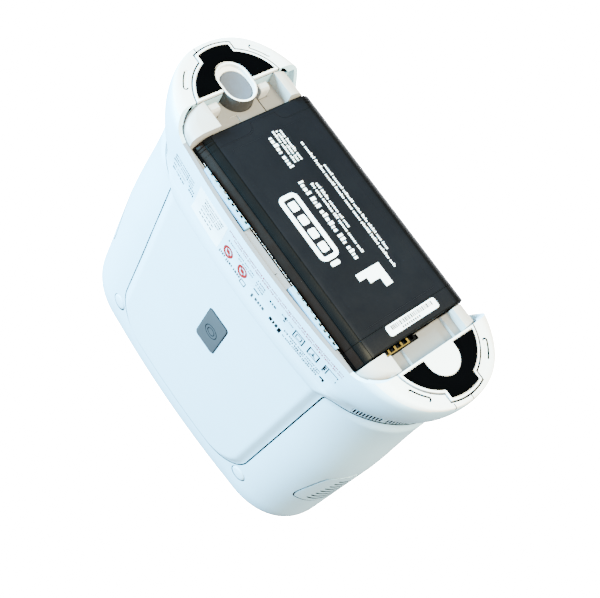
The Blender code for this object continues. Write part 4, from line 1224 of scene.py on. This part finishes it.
def band_patch():
    """A white patch with four rows of bars and a field of squares that encodes nothing."""
    patch = Print(on_band, 0.00006, 0.00015)
    patch.sheet(0.0234, 0.0498, 0.0157, 0.0362, 24, 16)
    patch.finish("band_patch", "label")
    dark = Print(lambda u, v, lift: on_band(u, v, lift + 0.00007), 0.00005, 0.00006)
    for i in range(4):
        dark.words(0.0262 + i * 0.0006, 0.0440, 0.0182 + i * 0.0024, 0.0014, 11 + 9 * i)
    for i in range(15):
        for j in range(6):
            if (i * 5 + j * 3 + i * j * j) % 3:
                u, v = 0.0312 + i * 0.00085, 0.0290 + j * 0.00092
                dark.block(u, v, u + 0.0008, v + 0.00085)
    dark.finish("band_patch_print", "print_dark")


def band_small_print():
    grey = Print(on_band)
    rows = ((0.0545, 0.0740, 0.0200, 0.0224, 0.0248), (0.0610, 0.0740, 0.0285, 0.0312))
    rows += ((-0.0030, 0.0200, 0.0214), (-0.0030, 0.0110, 0.0240))
    rows += ((-0.0126, -0.0056, 0.0212, 0.0238, 0.0262), (-0.0610, -0.0330, 0.0310))
    rows += ((-0.0612, -0.0386, 0.0328), (-0.0605, -0.0330, 0.0346), (-0.0360, -0.0270, 0.0222))
    grey.rows(rows, 0.0015, 5, 7)
    grey.words(0.0030, 0.0236, 0.0340, 0.0022, 83)
    grey.words(-0.0180, -0.0056, 0.0337, 0.0027, 97)
    grey.frame(0.0000, 0.0352, 0.0046, 0.0030, 0.0006)
    grey.finish("band_small_print", "print_grey")


def band_icons():
    """Frames with simple strokes in them, and two plain rings with a bar."""
    icons = Print(on_band)
    first, second, third = (-0.0415, 0.0252), (-0.0526, 0.0248), (-0.0654, 0.0252)
    for centre, size in ((first, (0.0078, 0.0074)), (second, (0.0078, 0.0074)), (third, (0.0100, 0.0078))):
        icons.frame(*centre, *size, 0.0008)
    icons.frame(*first, 0.0044, 0.0042, 0.0006)
    for shift, rise, angle in ((0.0, 0.0, 90), (0.0007, 0.0011, 35), (-0.0007, 0.0011, 145)):
        u, v, t = second[0] + shift, second[1] + rise, math.radians(angle)
        du, dv = 0.0015 * math.cos(t), 0.0021 * math.sin(t)
        icons.strip((u - du, v - dv), (u + du, v + dv), 0.0006)
    icons.strip((-0.0632, 0.0216), (-0.0632, 0.0288), 0.0007)
    icons.strip((-0.0617, 0.0246), (-0.0617, 0.0272), 0.0009)
    icons.strip((-0.0301, 0.0214), (-0.0301, 0.0244), 0.0012)
    icons.strip((-0.0112, 0.0303), (-0.0066, 0.0303), 0.0010)
    for u, v in ((-0.0617, 0.0236), (-0.0301, 0.0258)):
        icons.shape(circle(u, v, 0.0008, 12))
    icons.words(-0.0322, -0.0214, 0.0334, 0.0034, 29)
    icons.words(-0.0228, -0.0156, 0.0236, 0.0027, 19)
    icons.words(0.0520, 0.0578, 0.0270, 0.0020, 47)
    icons.words(0.0520, 0.0578, 0.0296, 0.0020, 59)
    corner = [(-0.0656, 0.0334), (-0.0622, 0.0334), (-0.0622, 0.0346)]
    icons.shape(corner + [(-0.0644, 0.0346), (-0.0644, 0.0356), (-0.0656, 0.0356)])
    icons.finish("band_icons", "print_dark")
    red = Print(on_band)
    for u, v in ((0.0166, 0.0299), (0.0039, 0.0297)):
        red.ring(u, v, 0.0039, 0.0016)
        red.ring(u, v, 0.0015, 0.0008)
        red.strip((u - 0.0022, v + 0.0018), (u + 0.0022, v - 0.0018), 0.0012)
    red.finish("band_rings", "print_red")


def band_red_lines():
    pink = Print(on_band)
    for row, v in enumerate((0.0148, 0.0170)):
        pink.words(-0.0710, 0.0222 - 0.004 * row, v, 0.0014, 7 + row)
    pink.finish("band_red_lines", "print_pink")


# ---------------------------------------------------------------- top and ends


BUTTONS = ("power", "minus", "plus", "mute")
LAMP_Y = -0.0118


def button_place(name):
    low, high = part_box(f"{name}_button")
    return (low.x + high.x) / 2, (high.x - low.x) / 2


def top():
    a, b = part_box("top_deck")
    width, depth = b.x - a.x, b.y - a.y
    levels = []
    for shrink, z in ((0.0, a.z), (0.0, b.z - 0.0006), (0.0002, b.z - 0.0002), (0.0006, b.z)):
        levels.append((rounded_rect(width - 2 * shrink, depth - 2 * shrink, 0.008 - shrink, steps=12), z))
    deck = add("control_deck", stack(levels), "button")
    c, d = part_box("display_window")
    pane = rounded_rect(d.x - c.x + 0.0006, d.y - c.y + 0.0006, 0.0022)
    holes, marks, lamps = bmesh.new(), bmesh.new(), bmesh.new()
    for name in BUTTONS:
        x, radius = button_place(name)
        well = [(radius + 0.0004, 0.24), (radius + 0.0004, b.z - 0.0005), (radius + 0.0010, b.z + 0.001)]
        turned(well, bm=holes, x=x)
    for i in range(5):
        x = -0.0060 + i * 0.0030
        turned([(0.0007, b.z - 0.0004), (0.0007, b.z + 0.001)], 16, marks, x, LAMP_Y)
        turned([(0.00058, b.z - 0.0003), (0.00058, b.z - 0.0001), (0.0003, b.z)], 16, lamps, x, LAMP_Y)
    cuts = (("cut_display", prism(pane, c.z - 0.0003, 0.26)), ("cut_buttons", holes), ("cut_lamps", marks))
    carve(deck, *(add(name, bm) for name, bm in cuts))
    settle(deck, "top_deck")
    settle(add("gauge_lamps", lamps, "clip"))
    window = []
    for shrink, z in ((0.0, c.z), (0.0, d.z - 0.0003), (0.0003, d.z)):
        window.append((rounded_rect(d.x - c.x - 2 * shrink, d.y - c.y - 2 * shrink, 0.002 - shrink), z))
    settle(add("display_pane", stack(window), "glass"), "display_window")
    readout(d.z)
    buttons()


def readout(z):
    """Generic segments: a gauge of bars, a level figure and a small drop outline."""
    ink = Print(lambda u, v, lift: (u, v, z + lift), 0.00006, 0.00006)
    ink.frame(-0.0145, 0.0, 0.0110, 0.0064, 0.0004, 0.0008)
    for i in range(4):
        ink.pill(0.0017, 0.0046, 0.0003, -0.0181 + i * 0.0024, 0.0)
    for u, v in ((0.0, 0.0042), (0.0, 0.0), (0.0, -0.0042)):
        ink.pill(0.0044, 0.0009, 0.0004, u, v)
    for u, v in ((0.0027, 0.0021), (-0.0027, -0.0021)):
        ink.pill(0.0009, 0.0034, 0.0004, u, v)
    ink.ring(0.0145, 0.0, 0.0040, 0.0006)
    ink.pill(0.0008, 0.0032, 0.0003, 0.0145, 0.0010)
    ink.finish("display_readout", "clip")


def buttons():
    for name in BUTTONS:
        low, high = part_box(f"{name}_button")
        x, radius = button_place(name)
        profile = [(radius, low.z), (radius, high.z - 0.0006), (radius - 0.0002, high.z - 0.0002)]
        profile += [(radius - 0.0006, high.z), (radius - 0.0016, high.z - 0.0001)]
        profile += [(radius * 0.4, high.z - 0.0004), (radius * 0.05, high.z - 0.00045)]
        cap = add(f"{name}_cap", moved(turned(profile), (x, 0, 0)), "foot")
        settle(cap, f"{name}_button", f"{name}_button")
        mark = Print(lambda u, v, lift: (u, v, high.z - 0.00036 + lift), 0.00010, 0.0001)
        if name == "power":
            rim = arc(x, 0, 0.0019, 130, 410, 20)
            mark.shape(rim + arc(x, 0, 0.0014, 410, 130, 20))
            mark.strip((x, 0.0004), (x, 0.0024), 0.0005)
        if name in ("plus", "minus"):
            mark.strip((x - 0.0018, 0), (x + 0.0018, 0), 0.0005)
        if name == "plus":
            mark.strip((x, 0.00027), (x, 0.0018), 0.0005)
            mark.strip((x, -0.0018), (x, -0.00027), 0.0005)
        if name == "mute":
            mark.ring(x, 0, 0.0017, 0.0004)
        mark.finish(f"{name}_mark", "print_dark", f"{name}_button")


def nozzle():
    cup = [(0.0080, 0.2320), (0.0080, 0.2472), (0.0078, 0.2476), (0.0075, 0.2476), (0.0073, 0.2472)]
    cup += [(0.0073, 0.2356), (0.0069, 0.2352), (0.0034, 0.2352), (0.0030, 0.2356), (0.0030, 0.2410)]
    for z in (0.2412, 0.2434, 0.2456):
        cup += [(0.0036, z), (0.0036, z + 0.0003), (0.0029, z + 0.0021)]
    cup += [(0.0024, 0.2481), (0.0022, 0.2484), (0.0015, 0.2484), (0.0014, 0.2481), (0.0014, 0.2330)]
    piece = add("cannula_outlet", moved(turned(cup), (NOZZLE_X, 0, 0)), "steel")
    settle(piece, "outlet_nozzle")
    low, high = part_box("nozzle_seal")
    outer, inner, mid = 0.0064, 0.0038, (low.z + high.z) / 2
    levels = []
    for i in range(24):
        t = 2 * math.pi * i / 24
        radius = (outer + inner) / 2 + (outer - inner) / 2 * math.cos(t)
        levels.append((circle(NOZZLE_X, 0, radius, 40), mid + (high.z - low.z) / 2 * math.sin(t)))
    bm = bmesh.new()
    rings = [[bm.verts.new((x, y, z)) for x, y in outline] for outline, z in levels]
    add_skin(bm, rings + rings[:1], caps=False)
    settle(add("outlet_seal", bm, "pad"), "nozzle_seal")


def dc_socket():
    low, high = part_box("dc_socket")
    x0, x1 = low.x, high.x
    profile = [(0.0062, x0), (0.0062, x1 - 0.0005), (0.0059, x1 - 0.0001), (0.0056, x1), (0.0044, x1)]
    profile += [(0.0041, x1 - 0.0002), (0.0040, x1 - 0.0006), (0.0040, x0 + 0.0031)]
    bm = turned(profile)
    bm.transform(Matrix.Rotation(math.radians(90), 4, "Y"))
    body = add("power_inlet", moved(bm, (0, 0, SOCKET_Z)), "pad")
    settle(body, "dc_socket")
    pin = turned([(0.0009, x0 + 0.0028), (0.0009, x1 - 0.0022), (0.0005, x1 - 0.0015)], 20)
    pin.transform(Matrix.Rotation(math.radians(90), 4, "Y"))
    settle(add("inlet_pin", moved(pin, (0, 0, SOCKET_Z)), "gold"))


# ---------------------------------------------------------------- carried-over nodes


KEPT = {
    "aluminium": (
        "chassis_plate", "compressor_block", "sieve_column_inner", "sieve_column_outer", "product_tank",
        "valve_block",
    ),
    "steel": ("compressor_motor", "crank_wheel", "latch_spring"),
    "cradle": ("column_manifold",),
    "pad": ("solenoid_inner", "solenoid_outer", "alarm_buzzer", "fan_frame"),
    "board": ("main_board",),
    "tube": ("air_tube", "oxygen_tube"),
    "foam": ("intake_filter",),
    "badge": ("fan_rotor",),
    "wrap": ("cell_pack",),
    "gold": ("bay_contacts",),
}


def dress_kept_nodes():
    for mat, names in KEPT.items():
        for name in names:
            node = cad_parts[name]
            node.data.materials.clear()
            node.data.materials.append(M[mat])
            node.data.shade_smooth()
            node.data.set_sharp_from_angle(angle=math.radians(30))


# ---------------------------------------------------------------- studio


CAMERA_PLACE, CAMERA_LENS = (-0.11147, -0.30526, -0.4132), 61.53
CAMERA_RIGHT, CAMERA_UP = (-0.58008, 0.73798, -0.3448), (0.79748, 0.42831, -0.42495)
FLOOR_Z, FLOOR_RADIUS = -1.6, 6.0


def camera():
    data = bpy.data.cameras.new("camera")
    data.lens = CAMERA_LENS
    data.sensor_width = 36.0
    data.clip_start = 0.01
    obj = bpy.data.objects.new("camera", data)
    right = Vector(CAMERA_RIGHT)
    back = right.cross(Vector(CAMERA_UP)).normalized()
    up = back.cross(right)
    turn = Matrix((right, up, back)).transposed().to_4x4()
    obj.matrix_world = Matrix.Translation(CAMERA_PLACE) @ turn
    bpy.context.scene.collection.objects.link(obj)
    bpy.context.scene.camera = obj


def area_light(name, place, target, size, power, colour):
    data = bpy.data.lights.new(name, "AREA")
    data.shape = "DISK"
    data.size = size
    data.energy = power
    data.color = colour
    obj = bpy.data.objects.new(name, data)
    obj.location = place
    obj.rotation_mode = "QUATERNION"
    obj.rotation_quaternion = (Vector(target) - Vector(place)).to_track_quat("-Z", "Y")
    obj.visible_camera = False
    bpy.context.scene.collection.objects.link(obj)


def studio():
    middle = (0, 0, 0.1)
    area_light("front_key", (1.36, -1.17, -0.48), middle, 1.1, 560, (0.34, 0.74, 1.0))
    area_light("low_warm", (-0.45, 0.15, -1.4), middle, 0.9, 135, (1.0, 0.92, 0.62))
    area_light("end_warm", (-1.6, -0.3, 0.1), middle, 1.0, 14, (1.0, 0.86, 0.72))
    area_light("back_fill", (0.4, 1.6, 0.9), middle, 1.6, 50, (0.9, 0.96, 1.0))


def world_light():
    """Soft pale light from all round, behind which the camera sees plain white."""
    world = bpy.data.worlds.new("studio")
    world.use_nodes = True
    tree = world.node_tree
    back = tree.nodes["Background"]
    back.inputs["Color"].default_value = (0.84, 0.94, 1.0, 1)
    back.inputs["Strength"].default_value = 0.6
    seen = tree.nodes.new("ShaderNodeBackground")
    seen.inputs["Color"].default_value = (1, 1, 1, 1)
    seen.inputs["Strength"].default_value = 40.0
    path = tree.nodes.new("ShaderNodeLightPath")
    mix = tree.nodes.new("ShaderNodeMixShader")
    link(tree, path, "Is Camera Ray", mix, 0)
    tree.links.new(back.outputs[0], mix.inputs[1])
    tree.links.new(seen.outputs[0], mix.inputs[2])
    tree.links.new(mix.outputs[0], tree.nodes["World Output"].inputs["Surface"])
    bpy.context.scene.world = world


def floor_disc():
    """The floor lies far below, since the camera looks up at the base."""
    bm = bmesh.new()
    bmesh.ops.create_circle(bm, cap_ends=True, radius=FLOOR_RADIUS, segments=64)
    floor = add("floor", moved(bm, (0, 0, FLOOR_Z)))
    mat = make_material("floor_paint", (0.82, 0.83, 0.84), 0.7, 0.01, 0.05, (300, 0.02), {"tone_scale": 2})
    floor.data.materials.append(mat)


def build():
    recesses = feet()
    hollow = hollow_space()
    keep = add("tool_keep", prism(panel_line(), -0.07, 0.07, axis="Y"), dark=True)
    windows = side_grilles()
    base_housing(hollow, keep, recesses + waist_vents())
    cutter = add("cut_panel", prism(panel_line(-SEAM), -0.07, 0.07, axis="Y"), dark=True)
    a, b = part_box("top_deck")
    deck = rounded_rect(b.x - a.x + 0.0007, b.y - a.y + 0.0007, 0.0083)
    holes = [
        add("cut_deck", prism(deck, 0.235, 0.26)),
        add("cut_well", prism(circle(NOZZLE_X, 0, 0.0084), 0.235, 0.26)),
    ]
    shell_half("front", -1, hollow, cutter, windows + holes)
    shell_half("rear", 1, hollow, cutter, holes)
    drop(hollow, keep, cutter, *windows, *holes)
    screw_caps()
    badge()
    cradle()
    latch()
    clips()
    connector()
    battery()
    battery_print()
    battery_sticker()
    band_patch()
    band_small_print()
    band_icons()
    band_red_lines()
    top()
    nozzle()
    dc_socket()
    dress_kept_nodes()


camera()
studio()
world_light()
floor_disc()
build()
